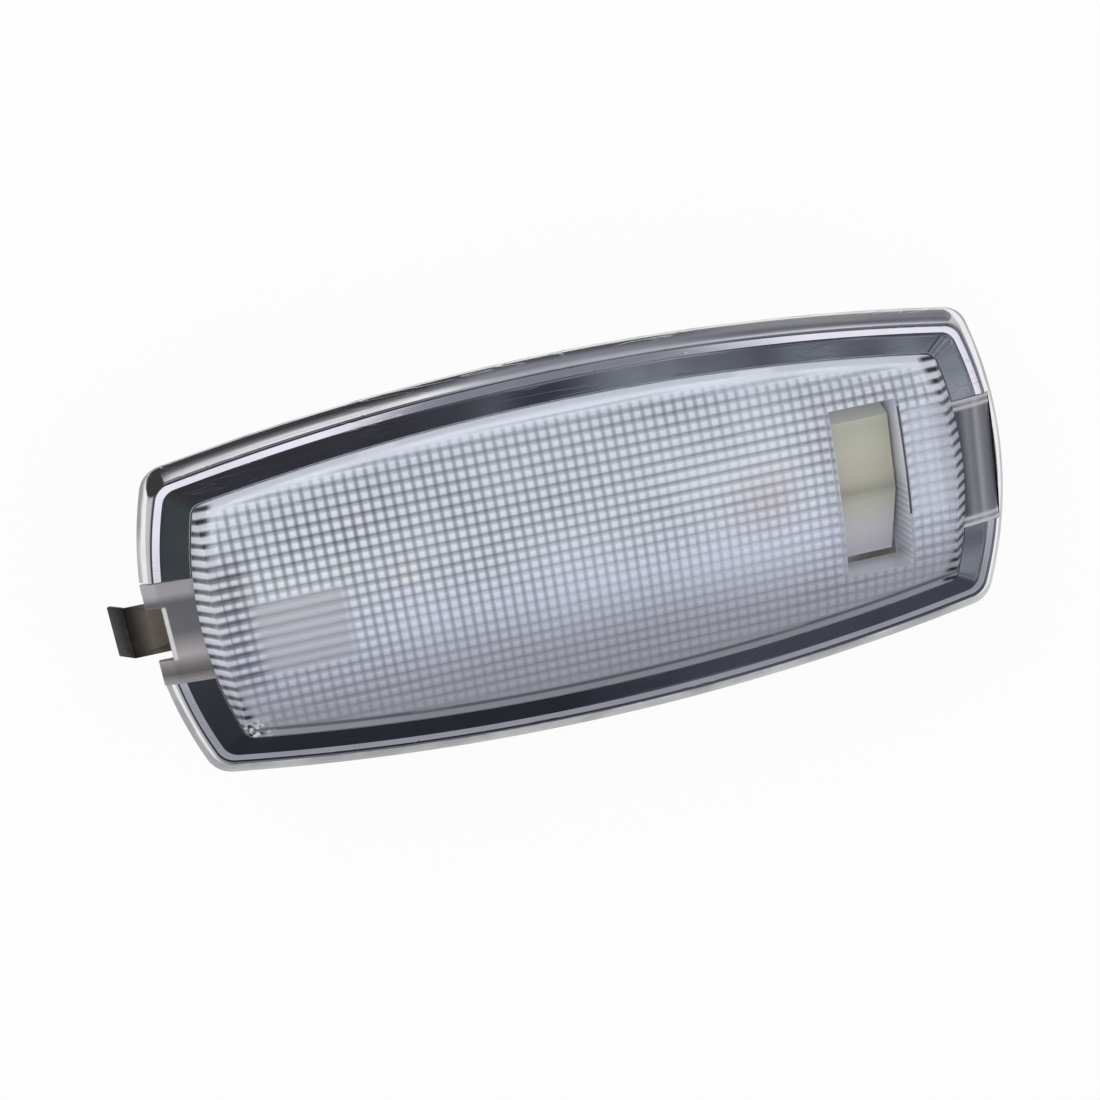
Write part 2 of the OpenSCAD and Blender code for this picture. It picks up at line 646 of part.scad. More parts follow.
// Outline of the glass from its middle to one end, moved in by t
function glass_line(t) = concat([[glass_r - t, 0]],
    [for (i = [0:round_n]) let(a = 90 * i / round_n)
        [neck_r - t + (glass_r - neck_r) * cos(a), glass_l / 2 - cap_bite - shoulder_l
            + (shoulder_l - t / 2) * sin(a)]]);
module bulb_glass() {
    mouth_r = neck_r / 2;
    half = concat(glass_line(0),
        [[neck_r, glass_l / 2], [mouth_r, glass_l / 2], [mouth_r, glass_l / 2 - cap_bite]],
        [for (i = [round_n + 1:-1:0]) glass_line(glass_t)[i]]);
    n = len(half);
    color([0.85, 0.9, 0.92, 0.4]) on_bulb() rotate([0, 90, 0]) rotate_extrude()
        polygon(concat(half, [for (i = [n - 2:-1:1]) [half[i][0], -half[i][1]]]));
}
// A cap of the bulb on the +X side
module cap() {
    x0 = bulb_l / 2 - cone_l - cap_l;
    difference() {
        union() {
            rod_x(x0, x0 + cap_l, 0, 0, cap_r);
            translate([x0 + cap_l - fit, 0, 0]) rotate([0, 90, 0])
                cylinder(r1 = cone_r, r2 = tip_r, h = cone_l + fit);
        }
        rod_x(x0 - over, glass_l / 2 + fit, 0, 0, neck_r + fit / 2);
        rod_x(x0, glass_l / 2 + filament_r * 2, 0, 0, filament_r);
    }
}
module bulb_cap_left() {
    color([0.7, 0.7, 0.7]) on_bulb() mirror([1, 0, 0]) cap();
}
module bulb_cap_right() {
    color([0.7, 0.7, 0.7]) on_bulb() cap();
}
// A wire of radius w wound round X as a coil of radius r from x0 to x1, with straight ends to xe
wire_n = 6;
turn_n = 12;
module coil(x0, x1, xe, r, w, turns) {
    n = turns * turn_n;
    line = concat(xe > 0 ? [[x0 - xe, 0, 0], [x0 - w * 4, 0, 0]] : [],
        [for (i = [0:n]) [x0 + (x1 - x0) * i / n, r, 360 * i / turn_n]],
        xe > 0 ? [[x1 + w * 4, 0, 0], [x1 + xe, 0, 0]] : []);
    p = [for (q = line) [q[0], q[1] * cos(q[2]), q[1] * sin(q[2])]];
    m = len(p);
    rings = [for (i = [0:m - 1]) let(
        t0 = p[min(i + 1, m - 1)] - p[max(i - 1, 0)],
        t = t0 / norm(t0),
        u0 = [0, cos(line[i][2]), sin(line[i][2])],
        u1 = u0 - (u0 * t) * t,
        u = u1 / norm(u1),
        v = cross(t, u))
        for (k = [0:wire_n - 1]) let(a = 360 * k / wire_n) p[i] + w * (cos(a) * u + sin(a) * v)];
    faces = [for (i = [0:m - 2]) for (k = [0:wire_n - 1])
        let(a = i * wire_n + k, b = i * wire_n + (k + 1) % wire_n)
        each [[a, b + wire_n, b], [a, a + wire_n, b + wire_n]]];
    polyhedron(points = rings, faces = concat(faces, [[for (k = [0:wire_n - 1]) k]],
        [[for (k = [wire_n - 1:-1:0]) (m - 1) * wire_n + k]]), convexity = 10);
}
filament_turns = 10;
spring_turns = 4;
module filament() {
    color([0.45, 0.43, 0.4]) on_bulb() coil(-filament_l / 2, filament_l / 2,
        glass_l / 2 + filament_r * 2 - filament_l / 2, filament_r, filament_wire_r, filament_turns);
}
// Place of the blades, where the cones fill their holes
blade_in = (cone_r - blade_hole_r + fit / 2) / (cone_r - tip_r) * cone_l;
blade_x = bulb_l / 2 - cone_l + blade_in;
module bulb_contact_left() {
    x1 = bulb_x - blade_x;
    x0 = supply_x - head_r - strip_t;
    color([0.72, 0.6, 0.4]) difference() {
        across(blade_w) polygon([[x0, floor_z], [x1, floor_z], [x1, floor_z + blade_h],
            [x1 - strip_t, floor_z + blade_h], [x1 - strip_t, floor_z + strip_t], [x0, floor_z + strip_t]]);
        rod_x(x1 - over, x1 + over, 0, bulb_z, blade_hole_r);
        rivet_hole(supply_x, 0, floor_z - over, floor_z + over);
    }
}
module bulb_contact_right() {
    x0 = bulb_x + blade_x;
    leg_z = pivot_z + hub_r * pad_share;
    color([0.72, 0.6, 0.4]) difference() {
        across(blade_w) polygon([[x0, floor_z], [leg_x + strip_t, floor_z], [leg_x + strip_t, leg_z],
            [leg_x, leg_z], [leg_x, floor_z + strip_t], [x0 + strip_t, floor_z + strip_t],
            [x0 + strip_t, floor_z + blade_h], [x0, floor_z + blade_h]]);
        rod_x(x0 - over, x0 + over, 0, bulb_z, blade_hole_r);
        rod_x(leg_x - over, leg_x + over, 0, pivot_z, pin_r + pin_play);
        rivet_hole(link_x, 0, floor_z - over, floor_z + over);
    }
}
module supply_rivet() {
    color([0.75, 0.68, 0.45]) rivet(supply_x, 0, step_h - terminal_t - head_t / 2,
        step_h - terminal_t, floor_z + strip_t);
}
module link_rivet() {
    color([0.75, 0.68, 0.45]) rivet(link_x, 0, step_h - head_t / 2, step_h, floor_z + strip_t);
}

// Switch
base_top_z = floor_z + cheek_t;
cheek_x = window_w / 2 + cheek_t;
cheek_z = shaft_z - grip_drop;
rocker_w = window_w - 2 * rocker_gap;
rocker_r = window_l / 2 - rocker_end_gap;
ridge_h = lens_z - rocker_sink - pivot_z;
rail_r = ball_drop + ball_r + ball_play;
cheek_share = 0.45;
module on_pivot(a = 0) {
    translate([window_x, 0, pivot_z]) rotate([a, 0, 0]) children();
}
module switch_frame() {
    cheek_l = window_l * cheek_share;
    color([0.2, 0.2, 0.21]) difference() {
        union() {
            translate([window_x, 0, 0]) block([-cheek_x, cheek_x], [-window_l / 2, window_l / 2],
                [floor_z, base_top_z]);
            for (m = [0, 1]) translate([window_x, 0, 0]) mirror([m, 0, 0])
                block([window_w / 2, cheek_x], [-cheek_l / 2, cheek_l / 2], [floor_z + cheek_t / 2, cheek_z]);
            translate([window_x, 0, 0]) block([-nose_w / 2 - strip_t, nose_w / 2 + strip_t],
                [-nose_w, nose_w], [floor_z + cheek_t / 2, pivot_z - ball_drop]);
        }
        on_pivot() rod_x(-nose_w, nose_w, 0, 0, rail_r);
        for (a = [-rocker_tilt, 0, rocker_tilt]) on_pivot(a)
            rod_x(-nose_w, nose_w, 0, -ball_drop - notch_depth, ball_r + ball_play);
        on_pivot() rod_x(-window_w, window_w, 0, 0, pin_r + fit / 5);
        for (m = [0, 1]) mirror([0, m, 0]) rivet_hole(window_x, rivet_y, floor_z - over, base_top_z + over);
    }
}
// Half round outline of the rocker with its two slopes, moved in by t
module rocker_line(t) {
    k = rocker_r * tan(rocker_slope);
    top = ridge_h - t / cos(rocker_slope);
    intersection() {
        circle(r = rocker_r - t, $fn = arc_fn);
        polygon([[-rocker_r, t > 0 ? 0 : rocker_edge], [rocker_r, t > 0 ? 0 : rocker_edge],
            [rocker_r, top - k], [0, top], [-rocker_r, top - k]]);
    }
}
module rocker() {
    color([0.8, 0.79, 0.7]) on_pivot(rocker_tilt) difference() {
        union() {
            difference() {
                along(-rocker_w / 2, rocker_w / 2) rocker_line(0);
                along(-rocker_w / 2 + rocker_t, rocker_w / 2 - rocker_t) rocker_line(rocker_t);
            }
            rod_x(-rocker_w / 2, rocker_w / 2, 0, 0, hub_r);
            block([-nose_w / 2, nose_w / 2], [-nose_w / 2, nose_w / 2], [-nose_l, ridge_h - rocker_t / 2]);
        }
        rod_x(-window_w, window_w, 0, 0, pin_r + pin_play);
        translate([0, 0, -nose_l - over]) cylinder(r = ball_r + fit, h = nose_l + over - pin_r - wire_r * 3);
    }
}
module rocker_pin() {
    color([0.66, 0.66, 0.66]) {
        rod_x(leg_x - fit * 2, window_x + cheek_x + fit * 2, 0, pivot_z, pin_r);
        rod_x(leg_x - fit - head_t, leg_x - fit, 0, pivot_z, pin_r + strip_t);
        rod_x(window_x + cheek_x + fit, window_x + cheek_x + fit + head_t, 0, pivot_z, pin_r + strip_t);
    }
}
module rocker_contact() {
    color([0.78, 0.62, 0.36]) on_pivot(rocker_tilt) difference() {
        block([-bridge_w / 2, bridge_w / 2], [-bridge_l / 2, bridge_l / 2],
            [-bridge_drop - strip_t, -bridge_drop]);
        block([-nose_w / 2 - fit / 2, nose_w / 2 + fit / 2], [-nose_w / 2 - fit / 2, nose_w / 2 + fit / 2],
            [-nose_l, 0]);
    }
}
module detent_ball() {
    color([0.6, 0.6, 0.62]) on_pivot(rocker_tilt) translate([0, 0, -ball_drop]) sphere(r = ball_r);
}
module detent_spring() {
    z1 = pin_r + wire_r * 3 + wire_r * 2;
    z0 = ball_drop - ball_r - wire_r;
    color([0.5, 0.5, 0.52]) on_pivot(rocker_tilt) rotate([0, 90, 0])
        coil(z1, z0, 0, coil_r, wire_r, spring_turns);
}
// A fixed contact on the +Y side: foot, slope and blunt tip
tip_share = 1.4;
module finger() {
    z = base_top_z;
    y2 = rivet_y + head_r + strip_t / 2;
    y1 = rivet_y - head_r - fit;
    y0 = finger_y - strip_t * tip_share;
    top = z + finger_h;
    difference() {
        translate([window_x, 0, 0]) along(-finger_w / 2, finger_w / 2) polygon([[y2, z], [y2, z + strip_t],
            [y1, z + strip_t], [finger_y, top], [y0, top], [y0, top - strip_t],
            [finger_y - strip_t / 2, top - strip_t], [y1 - strip_t / 2, z]]);
        rivet_hole(window_x, rivet_y, z - over, z + over);
    }
}
module switch_rivet() {
    rivet(window_x, rivet_y, step_h - terminal_t - head_t / 2, step_h - terminal_t, base_top_z + strip_t);
}
// A terminal under the +Y rivet hole, with its blade hanging down on the outer side
module terminal(x, y) {
    tip_z = terminal_t;
    translate([x, y, 0]) difference() {
        union() {
            block([-terminal_w / 2, terminal_w / 2], [-head_r - fit, head_r + fit + terminal_t],
                [step_h - terminal_t, step_h]);
            block([-terminal_w / 2, terminal_w / 2], [head_r + fit, head_r + fit + terminal_t],
                [tip_z + terminal_t, step_h]);
        }
        rivet_hole(0, 0, 0, step_h + over);
    }
}
module door_contact() {
    color([0.78, 0.62, 0.36]) finger();
}
module earth_contact() {
    color([0.78, 0.62, 0.36]) mirror([0, 1, 0]) finger();
}
module door_rivet() {
    color([0.75, 0.68, 0.45]) switch_rivet();
}
module earth_rivet() {
    color([0.75, 0.68, 0.45]) mirror([0, 1, 0]) switch_rivet();
}
module door_terminal() {
    color([0.75, 0.68, 0.45]) terminal(window_x, rivet_y);
}
module earth_terminal() {
    color([0.75, 0.68, 0.45]) mirror([0, 1, 0]) terminal(window_x, rivet_y);
}
module supply_terminal() {
    color([0.75, 0.68, 0.45]) terminal(supply_x, 0);
}

bezel();
lens();
housing();
reflector();
spring_clip();
clip_rivet();
bulb_glass();
bulb_cap_left();
bulb_cap_right();
filament();
bulb_contact_left();
bulb_contact_right();
supply_rivet();
link_rivet();
switch_frame();
rocker();
rocker_pin();
rocker_contact();
detent_ball();
detent_spring();
earth_contact();
door_contact();
earth_rivet();
door_rivet();
supply_terminal();
earth_terminal();
door_terminal();
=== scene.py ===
# %% [markdown]
# # Car dome light
# The imported solid model is the frame of everything here: each solid part comes in at its true place, in
# metres. +X runs along the lamp towards its switch, +Y across it and +Z out of the lens. The lamp lies on
# its flat back. This first cell loads that frame.

# %% Load the frame
import math

import bmesh
import bpy
import numpy as np
from mathutils import Matrix, Vector


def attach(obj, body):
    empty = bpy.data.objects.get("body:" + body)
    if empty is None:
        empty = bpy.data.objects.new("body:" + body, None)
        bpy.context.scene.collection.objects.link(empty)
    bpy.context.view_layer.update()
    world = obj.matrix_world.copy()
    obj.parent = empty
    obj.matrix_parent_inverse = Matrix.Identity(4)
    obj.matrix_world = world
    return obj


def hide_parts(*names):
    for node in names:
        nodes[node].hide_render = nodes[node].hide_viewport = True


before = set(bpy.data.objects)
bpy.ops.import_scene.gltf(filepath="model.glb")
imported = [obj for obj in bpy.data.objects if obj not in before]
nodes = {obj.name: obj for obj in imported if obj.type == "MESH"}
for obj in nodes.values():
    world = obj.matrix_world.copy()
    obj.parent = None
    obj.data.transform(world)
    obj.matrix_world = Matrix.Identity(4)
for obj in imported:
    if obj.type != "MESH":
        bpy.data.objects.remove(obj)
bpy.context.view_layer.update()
MM = 0.001

# %% [markdown]
# ## Camera
# The camera stands above the lens, a little over the far long side, and is turned so that the lamp lies
# aslant in a square picture. Its place and the directions of its right, up and back axes are written out,
# so that the view needs no tracking constraint.

# %% Place the camera
ROOF_Z = 17.0
CAMERA_PLACE = (-28.14, 54.62, 190.68 + ROOF_Z)
CAMERA_RIGHT = (0.97094504, -0.17153544, 0.16685719)
CAMERA_UP = (0.20966533, 0.94589646, -0.24762943)
CAMERA_BACK = (-0.1153524, 0.27541873, 0.95437851)
FOCAL_SHARE = 1573.4 / 1100

camera_data = bpy.data.cameras.new("camera")
camera_data.sensor_width = 36
camera_data.lens = FOCAL_SHARE * camera_data.sensor_width
camera_data.clip_start = 0.01
camera = bpy.data.objects.new("camera", camera_data)
bpy.context.scene.collection.objects.link(camera)
turn = Matrix((CAMERA_RIGHT, CAMERA_UP, CAMERA_BACK)).transposed().to_4x4()
camera.matrix_world = Matrix.Translation(Vector(CAMERA_PLACE) * MM) @ turn
bpy.context.scene.camera = camera
print("camera height in mm:", CAMERA_PLACE[2])

# %% [markdown]
# ## Node helpers
# Materials are made of nodes. Short helpers keep the recipes readable: one starts a material with a
# single Principled shader, another adds a node and plugs in values or other nodes' outputs in one line,
# and the rest write the few sums, ramps and mixes that every recipe here is made of.

# %% Node helpers
def new_material(name):
    """An empty node material with one Principled shader: returns material, tree and shader."""
    material = bpy.data.materials.new(name)
    material.use_nodes = True
    tree = material.node_tree
    tree.nodes.clear()
    output = tree.nodes.new("ShaderNodeOutputMaterial")
    shader = tree.nodes.new("ShaderNodeBsdfPrincipled")
    tree.links.new(shader.outputs[0], output.inputs["Surface"])
    return material, tree, shader


def plug(tree, node, key, value):
    """Sets a socket to a value, or links it to another node's output."""
    if isinstance(value, bpy.types.NodeSocket):
        tree.links.new(value, node.inputs[key])
    else:
        node.inputs[key].default_value = value


def add(tree, kind, inputs=None, **settings):
    """Adds a node: inputs maps a socket name or number to a value or to another node's output."""
    node = tree.nodes.new(kind)
    for key, value in settings.items():
        setattr(node, key, value)
    for key, value in (inputs or {}).items():
        plug(tree, node, key, value)
    return node


def ramp(tree, factor, stops, colours=False):
    """A Color Ramp over factor: stops are (place, grey) or (place, (r, g, b)) in rising order."""
    node = add(tree, "ShaderNodeValToRGB", {0: factor})
    elements = node.color_ramp.elements
    while len(elements) < len(stops):
        elements.new(0.5)
    for element, (place, value) in zip(elements, stops):
        element.position = place
        element.color = (*value, 1) if colours else (value, value, value, 1)
    return node.outputs[0]


def fade(tree, factor, none, full):
    """A Color Ramp from 0 at one place to 1 at the other, whichever of the two is higher."""
    return ramp(tree, factor, sorted([(none, 0.0), (full, 1.0)]))


def math_node(tree, operation, a, b=0.0, clamp=False):
    """One Math node, whose two inputs are numbers or outputs."""
    return add(tree, "ShaderNodeMath", {0: a, 1: b}, operation=operation, use_clamp=clamp).outputs[0]


def step(tree, value, start, end):
    """(value - start) / (end - start), held between 0 and 1.

    A Color Ramp is stored in 256 steps, about 4 mm each for a value in metres, so lengths pass through here.
    """
    return add(tree, "ShaderNodeMapRange", {"Value": value, "From Min": start, "From Max": end}).outputs[0]


def product(tree, first, *others):
    """Several numbers or outputs multiplied."""
    for other in others:
        first = math_node(tree, "MULTIPLY", first, other)
    return first


def less(tree, value, mask, share=1.0):
    """A value where the mask is 0, and the value less a share of it where the mask is 1."""
    return product(tree, value, math_node(tree, "SUBTRACT", 1.0, product(tree, mask, share)))


def noise(tree, place, scale, detail, **more):
    """One Noise node over a place, with the named sockets that more gives."""
    inputs = {"Vector": place, "Scale": scale, "Detail": detail, **more}
    return add(tree, "ShaderNodeTexNoise", inputs).outputs[0]


def object_axes(tree):
    """X, Y and Z of the object's own coordinates, by name."""
    place = add(tree, "ShaderNodeTexCoord").outputs["Object"]
    return add(tree, "ShaderNodeSeparateXYZ", {0: place}).outputs


def blend(tree, factor, a, b):
    """Mixes two colours by factor: each is an (r, g, b) or an output."""
    a = a if isinstance(a, bpy.types.NodeSocket) else (*a, 1)
    b = b if isinstance(b, bpy.types.NodeSocket) else (*b, 1)
    mix = add(tree, "ShaderNodeMix", {"Factor": factor}, data_type="RGBA")
    plug(tree, mix, "A", a)
    plug(tree, mix, "B", b)
    return mix.outputs["Result"]


# %% [markdown]
# ## Floor, world and lamps
# A plain pale floor takes the lamp's shadow, and looks pale to the camera, to bright metal and through
# clear plastic alike. The world is white where the camera sees it. Bright metal is mostly a picture of
# the room, so reflections see a painted room: a bright lamp overhead, a dark ring of ceiling round it,
# pale walls lower down and a far wall that changes from left to right. Light that has passed through the
# clear lens sees the plain white world, as the pale housing behind the lens does.

# %% Floor
FLOOR_HALF = 1.5
FLOOR_GLOW = 0.92
floor_mesh = bpy.data.meshes.new("floor")
corners = [(-FLOOR_HALF, -FLOOR_HALF, 0), (FLOOR_HALF, -FLOOR_HALF, 0),
           (FLOOR_HALF, FLOOR_HALF, 0), (-FLOOR_HALF, FLOOR_HALF, 0)]
floor_mesh.from_pydata(corners, [], [(0, 1, 2, 3)])
floor = bpy.data.objects.new("floor", floor_mesh)
bpy.context.scene.collection.objects.link(floor)
floor_material, tree, shader = new_material("pale_floor")
shader.inputs["Base Color"].default_value = (0.8, 0.8, 0.8, 1)
shader.inputs["Roughness"].default_value = 0.9
path = add(tree, "ShaderNodeLightPath")
glow = add(tree, "ShaderNodeEmission", {"Color": (1, 1, 1, 1), "Strength": 1.0})
direct = math_node(tree, "MAXIMUM", path.outputs["Is Camera Ray"], path.outputs["Is Glossy Ray"])
direct = math_node(tree, "MAXIMUM", direct, path.outputs["Is Transmission Ray"])
share = product(tree, direct, FLOOR_GLOW)
floor_mix = add(tree, "ShaderNodeMixShader", {0: share, 1: shader.outputs[0], 2: glow.outputs[0]})
output = next(n for n in tree.nodes if n.type == "OUTPUT_MATERIAL")
tree.links.new(floor_mix.outputs[0], output.inputs["Surface"])
floor_mesh.materials.append(floor_material)

# %% World
world = bpy.data.worlds.new("studio")
bpy.context.scene.world = world
world.use_nodes = True
tree = world.node_tree
tree.nodes.clear()
place = add(tree, "ShaderNodeTexCoord")
axis = add(tree, "ShaderNodeSeparateXYZ", {0: place.outputs["Generated"]})
# The ring: distance on the sky's disc from the middle of what the frame's bevels reflect
RING_MIDDLE = (0.1, -0.19, 0.0)
BRIGHT, DARK = (0.95, 0.92, 1.02), (0.035, 0.034, 0.044)
flat = add(tree, "ShaderNodeCombineXYZ", {"X": axis.outputs["X"], "Y": axis.outputs["Y"]})
ring = add(tree, "ShaderNodeVectorMath", {0: flat.outputs[0], 1: RING_MIDDLE}, operation="DISTANCE")
ring = ring.outputs["Value"]
room = ramp(tree, ring, [(0.0, BRIGHT), (0.36, BRIGHT), (0.47, DARK), (0.71, DARK),
                         (0.77, (0.13, 0.13, 0.155)), (0.86, (0.26, 0.26, 0.29)),
                         (1.0, (0.6, 0.6, 0.62))], True)
east, north, height = axis.outputs["X"], axis.outputs["Y"], axis.outputs["Z"]
west = math_node(tree, "SUBTRACT", 0.0, east)
south = math_node(tree, "SUBTRACT", 0.0, north)
clouds = noise(tree, place.outputs["Generated"], 5.0, 3.0)
wisps = noise(tree, place.outputs["Generated"], 17.0, 4.0)


def paint(color, *masks):
    """Paints a colour over the room where all the given masks are 1."""
    return blend(tree, product(tree, *masks), room, color)


overhead = fade(tree, ring, 0.44, 0.38)
ceiling = ramp(tree, ring, [(0.44, 0.0), (0.52, 1.0), (0.7, 1.0), (0.78, 0.0)])
# The lamp overhead has a grey middle, and is dim where the low side and both ends look
middle = ramp(tree, east, [(0.0, 0.0), (0.04, 1.0), (0.22, 1.0), (0.3, 0.0)])
room = paint((0.24, 0.24, 0.29), overhead, middle)
room = paint((0.33, 0.33, 0.37), overhead, fade(tree, south, 0.2, 0.34))
# The ceiling: cloudy mid grey towards +X, nearly black towards the near side, a little green towards -X
hazy = product(tree, math_node(tree, "ADD", clouds, wisps), 0.5)
cloudy = ramp(tree, hazy, [(0.4, (0.035, 0.04, 0.055)), (0.5, (0.13, 0.14, 0.17)),
                           (0.6, (0.32, 0.34, 0.38))], True)
room = paint(cloudy, ceiling, fade(tree, east, 0.0, 0.16))
near_side = fade(tree, south, 0.4, 0.6)
room = paint((0.021, 0.023, 0.032), ceiling, near_side, fade(tree, east, 0.3, 0.1))
room = paint((0.055, 0.06, 0.08), ceiling, near_side, fade(tree, east, 0.1, 0.3))
room = paint((0.05, 0.06, 0.064), ceiling, fade(tree, west, 0.3, 0.5),
             fade(tree, south, 0.42, 0.26))
# The far wall by height: dark to white at the left, blue-grey in the middle, streaked at the right
far_wall = fade(tree, north, 0.62, 0.7)
left_wall = ramp(tree, height, [(0.1, (0.045, 0.045, 0.05)), (0.2, (0.2, 0.2, 0.21)),
                                (0.3, (0.9, 0.9, 0.92)), (0.55, (1.05, 1.05, 1.08)),
                                (0.64, (0.1, 0.1, 0.12))], True)
middle_wall = ramp(tree, height, [(0.04, (0.09, 0.09, 0.1)), (0.14, (0.24, 0.23, 0.27)),
                                  (0.32, (0.33, 0.37, 0.38)), (0.5, (0.46, 0.46, 0.53)),
                                  (0.66, (0.6, 0.6, 0.67))], True)
right_wall = ramp(tree, height, [(0.04, (0.3, 0.3, 0.31)), (0.14, (0.28, 0.28, 0.29)),
                                 (0.24, (0.17, 0.17, 0.2)), (0.34, (0.22, 0.22, 0.25)),
                                 (0.46, (0.5, 0.5, 0.54)), (0.6, (1.05, 1.05, 1.08)),
                                 (0.68, (0.3, 0.3, 0.34))], True)
shade = ramp(tree, clouds, [(0.35, 0.7), (0.65, 1.0)])
room = paint(left_wall, far_wall)
room = paint(middle_wall, far_wall, fade(tree, east, -0.02, 0.07))
room = paint(right_wall, far_wall, fade(tree, east, 0.25, 0.34))
room = paint((0.05, 0.05, 0.06), far_wall, math_node(tree, "SUBTRACT", 1.0, shade))
# One dark corner beyond the far left
room = paint((0.045, 0.045, 0.043), fade(tree, west, 0.26, 0.34),
             fade(tree, north, 0.12, 0.2), fade(tree, ring, 0.44, 0.52))
path = add(tree, "ShaderNodeLightPath")
plain = add(tree, "ShaderNodeBackground", {"Color": (1, 1, 1, 1), "Strength": 0.68})
mirror_room = add(tree, "ShaderNodeBackground", {"Color": room, "Strength": 1.0})
seen = add(tree, "ShaderNodeBackground", {"Color": (1, 1, 1, 1), "Strength": 1.0})
camera_ray, through = path.outputs["Is Camera Ray"], path.outputs["Is Transmission Ray"]
mirrored = math_node(tree, "SUBTRACT", path.outputs["Is Glossy Ray"], through, True)
glossy = add(tree, "ShaderNodeMixShader", {0: mirrored, 1: plain.outputs[0], 2: mirror_room.outputs[0]})
final = add(tree, "ShaderNodeMixShader", {0: camera_ray, 1: glossy.outputs[0], 2: seen.outputs[0]})
add(tree, "ShaderNodeOutputWorld", {"Surface": final.outputs[0]})
bpy.context.scene.view_settings.view_transform = "Standard"

# %% Lamps
def soft_lamp(name, place, target, size, power):
    """A square area lamp at place that faces target, in metres. Reflections see the painted room instead."""
    data = bpy.data.lights.new(name, "AREA")
    data.size = size
    data.energy = power
    lamp = bpy.data.objects.new(name, data)
    bpy.context.scene.collection.objects.link(lamp)
    lamp.location = place
    lamp.rotation_euler = (Vector(target) - Vector(place)).to_track_quat("-Z", "Y").to_euler()
    lamp.visible_glossy = False
    return lamp


LENS_MIDDLE = (0, 0, 0.02)
soft_lamp("key", (-0.35, 0.45, 0.6), LENS_MIDDLE, 0.5, 2.6)
soft_lamp("fill", (0.5, -0.2, 0.5), LENS_MIDDLE, 0.6, 1.0)

# %% [markdown]
# ## Shared effects
# Three effects come back in several finishes, so each is a node group, built once: fine scratches that
# change roughness and tilt the surface a little, a film of dust that gathers in soft patches, and the
# faint grain of moulded plastic. Each reads Object coordinates, so nothing slides when the view moves.

# %% Node groups
def new_group(name, inputs, outputs):
    """A shader node group: inputs are (name, value), outputs are (name, socket type)."""
    group = bpy.data.node_groups.new(name, "ShaderNodeTree")
    for label, value in inputs:
        socket = group.interface.new_socket(label, in_out="INPUT", socket_type="NodeSocketFloat")
        socket.default_value = value
    for label, kind in outputs:
        group.interface.new_socket(label, in_out="OUTPUT", socket_type=kind)
    enter = group.nodes.new("NodeGroupInput")
    leave = group.nodes.new("NodeGroupOutput")
    return group, enter, leave


# Fine scratches: noise drawn out along X, kept only where it is near its middle value, so thin lines remain
BUMP_HEIGHT = 0.2 * MM
scratch_inputs = [("Scale", 900.0), ("Roughness", 0.1), ("Spread", 0.1), ("Depth", 0.02)]
scratch_outputs = [("Roughness", "NodeSocketFloat"), ("Normal", "NodeSocketVector")]
scratches, enter, leave = new_group("fine_scratches", scratch_inputs, scratch_outputs)
place = add(scratches, "ShaderNodeTexCoord")
drawn = add(scratches, "ShaderNodeMapping", {"Vector": place.outputs["Object"], "Scale": (0.06, 1.0, 1.0),
                                             "Rotation": (0.0, 0.0, 0.35)})
lines = noise(scratches, drawn.outputs[0], enter.outputs["Scale"], 2.0)
thin = math_node(scratches, "ABSOLUTE", math_node(scratches, "SUBTRACT", lines, 0.5))
cloud = noise(scratches, place.outputs["Object"], 60.0, 3.0)
mask = product(scratches, fade(scratches, thin, 0.012, 0.0),
               fade(scratches, cloud, 0.45, 0.65))
more = product(scratches, math_node(scratches, "ADD", mask, cloud), enter.outputs["Spread"])
rough = math_node(scratches, "ADD", more, enter.outputs["Roughness"], True)
tilt = add(scratches, "ShaderNodeBump", {"Strength": enter.outputs["Depth"], "Distance": BUMP_HEIGHT,
                                         "Height": mask})
scratches.links.new(rough, leave.inputs["Roughness"])
scratches.links.new(tilt.outputs[0], leave.inputs["Normal"])

# Dust: soft patches at two sizes
dust_inputs = [("Scale", 120.0), ("Amount", 0.3)]
dust, enter, leave = new_group("dust_film", dust_inputs, [("Mask", "NodeSocketFloat")])
place = add(dust, "ShaderNodeTexCoord")
wide = noise(dust, place.outputs["Object"], enter.outputs["Scale"], 4.0, Roughness=0.6)
fine = noise(dust, place.outputs["Object"], 2600.0, 1.0)
mask = product(dust, fade(dust, wide, 0.4, 0.75),
               ramp(dust, fine, [(0.35, 0.3), (0.7, 1.0)]))
dust.links.new(math_node(dust, "MULTIPLY", mask, enter.outputs["Amount"], True), leave.inputs["Mask"])

# Moulded grain: a shallow bump
grain, enter, leave = new_group("moulded_grain", [("Scale", 1500.0), ("Depth", 0.1)],
                                [("Normal", "NodeSocketVector"), ("Shade", "NodeSocketFloat")])
place = add(grain, "ShaderNodeTexCoord")
fine = noise(grain, place.outputs["Object"], enter.outputs["Scale"], 2.0)
wide = noise(grain, place.outputs["Object"], 90.0, 3.0)
bump = add(grain, "ShaderNodeBump", {"Strength": enter.outputs["Depth"], "Distance": BUMP_HEIGHT,
                                     "Height": fine})
grain.links.new(bump.outputs[0], leave.inputs["Normal"])
grain.links.new(wide, leave.inputs["Shade"])


def use_group(tree, group, **values):
    """Places a node group in a material with its own values."""
    node = tree.nodes.new("ShaderNodeGroup")
    node.node_tree = group
    for key, value in values.items():
        node.inputs[key].default_value = value
    return node
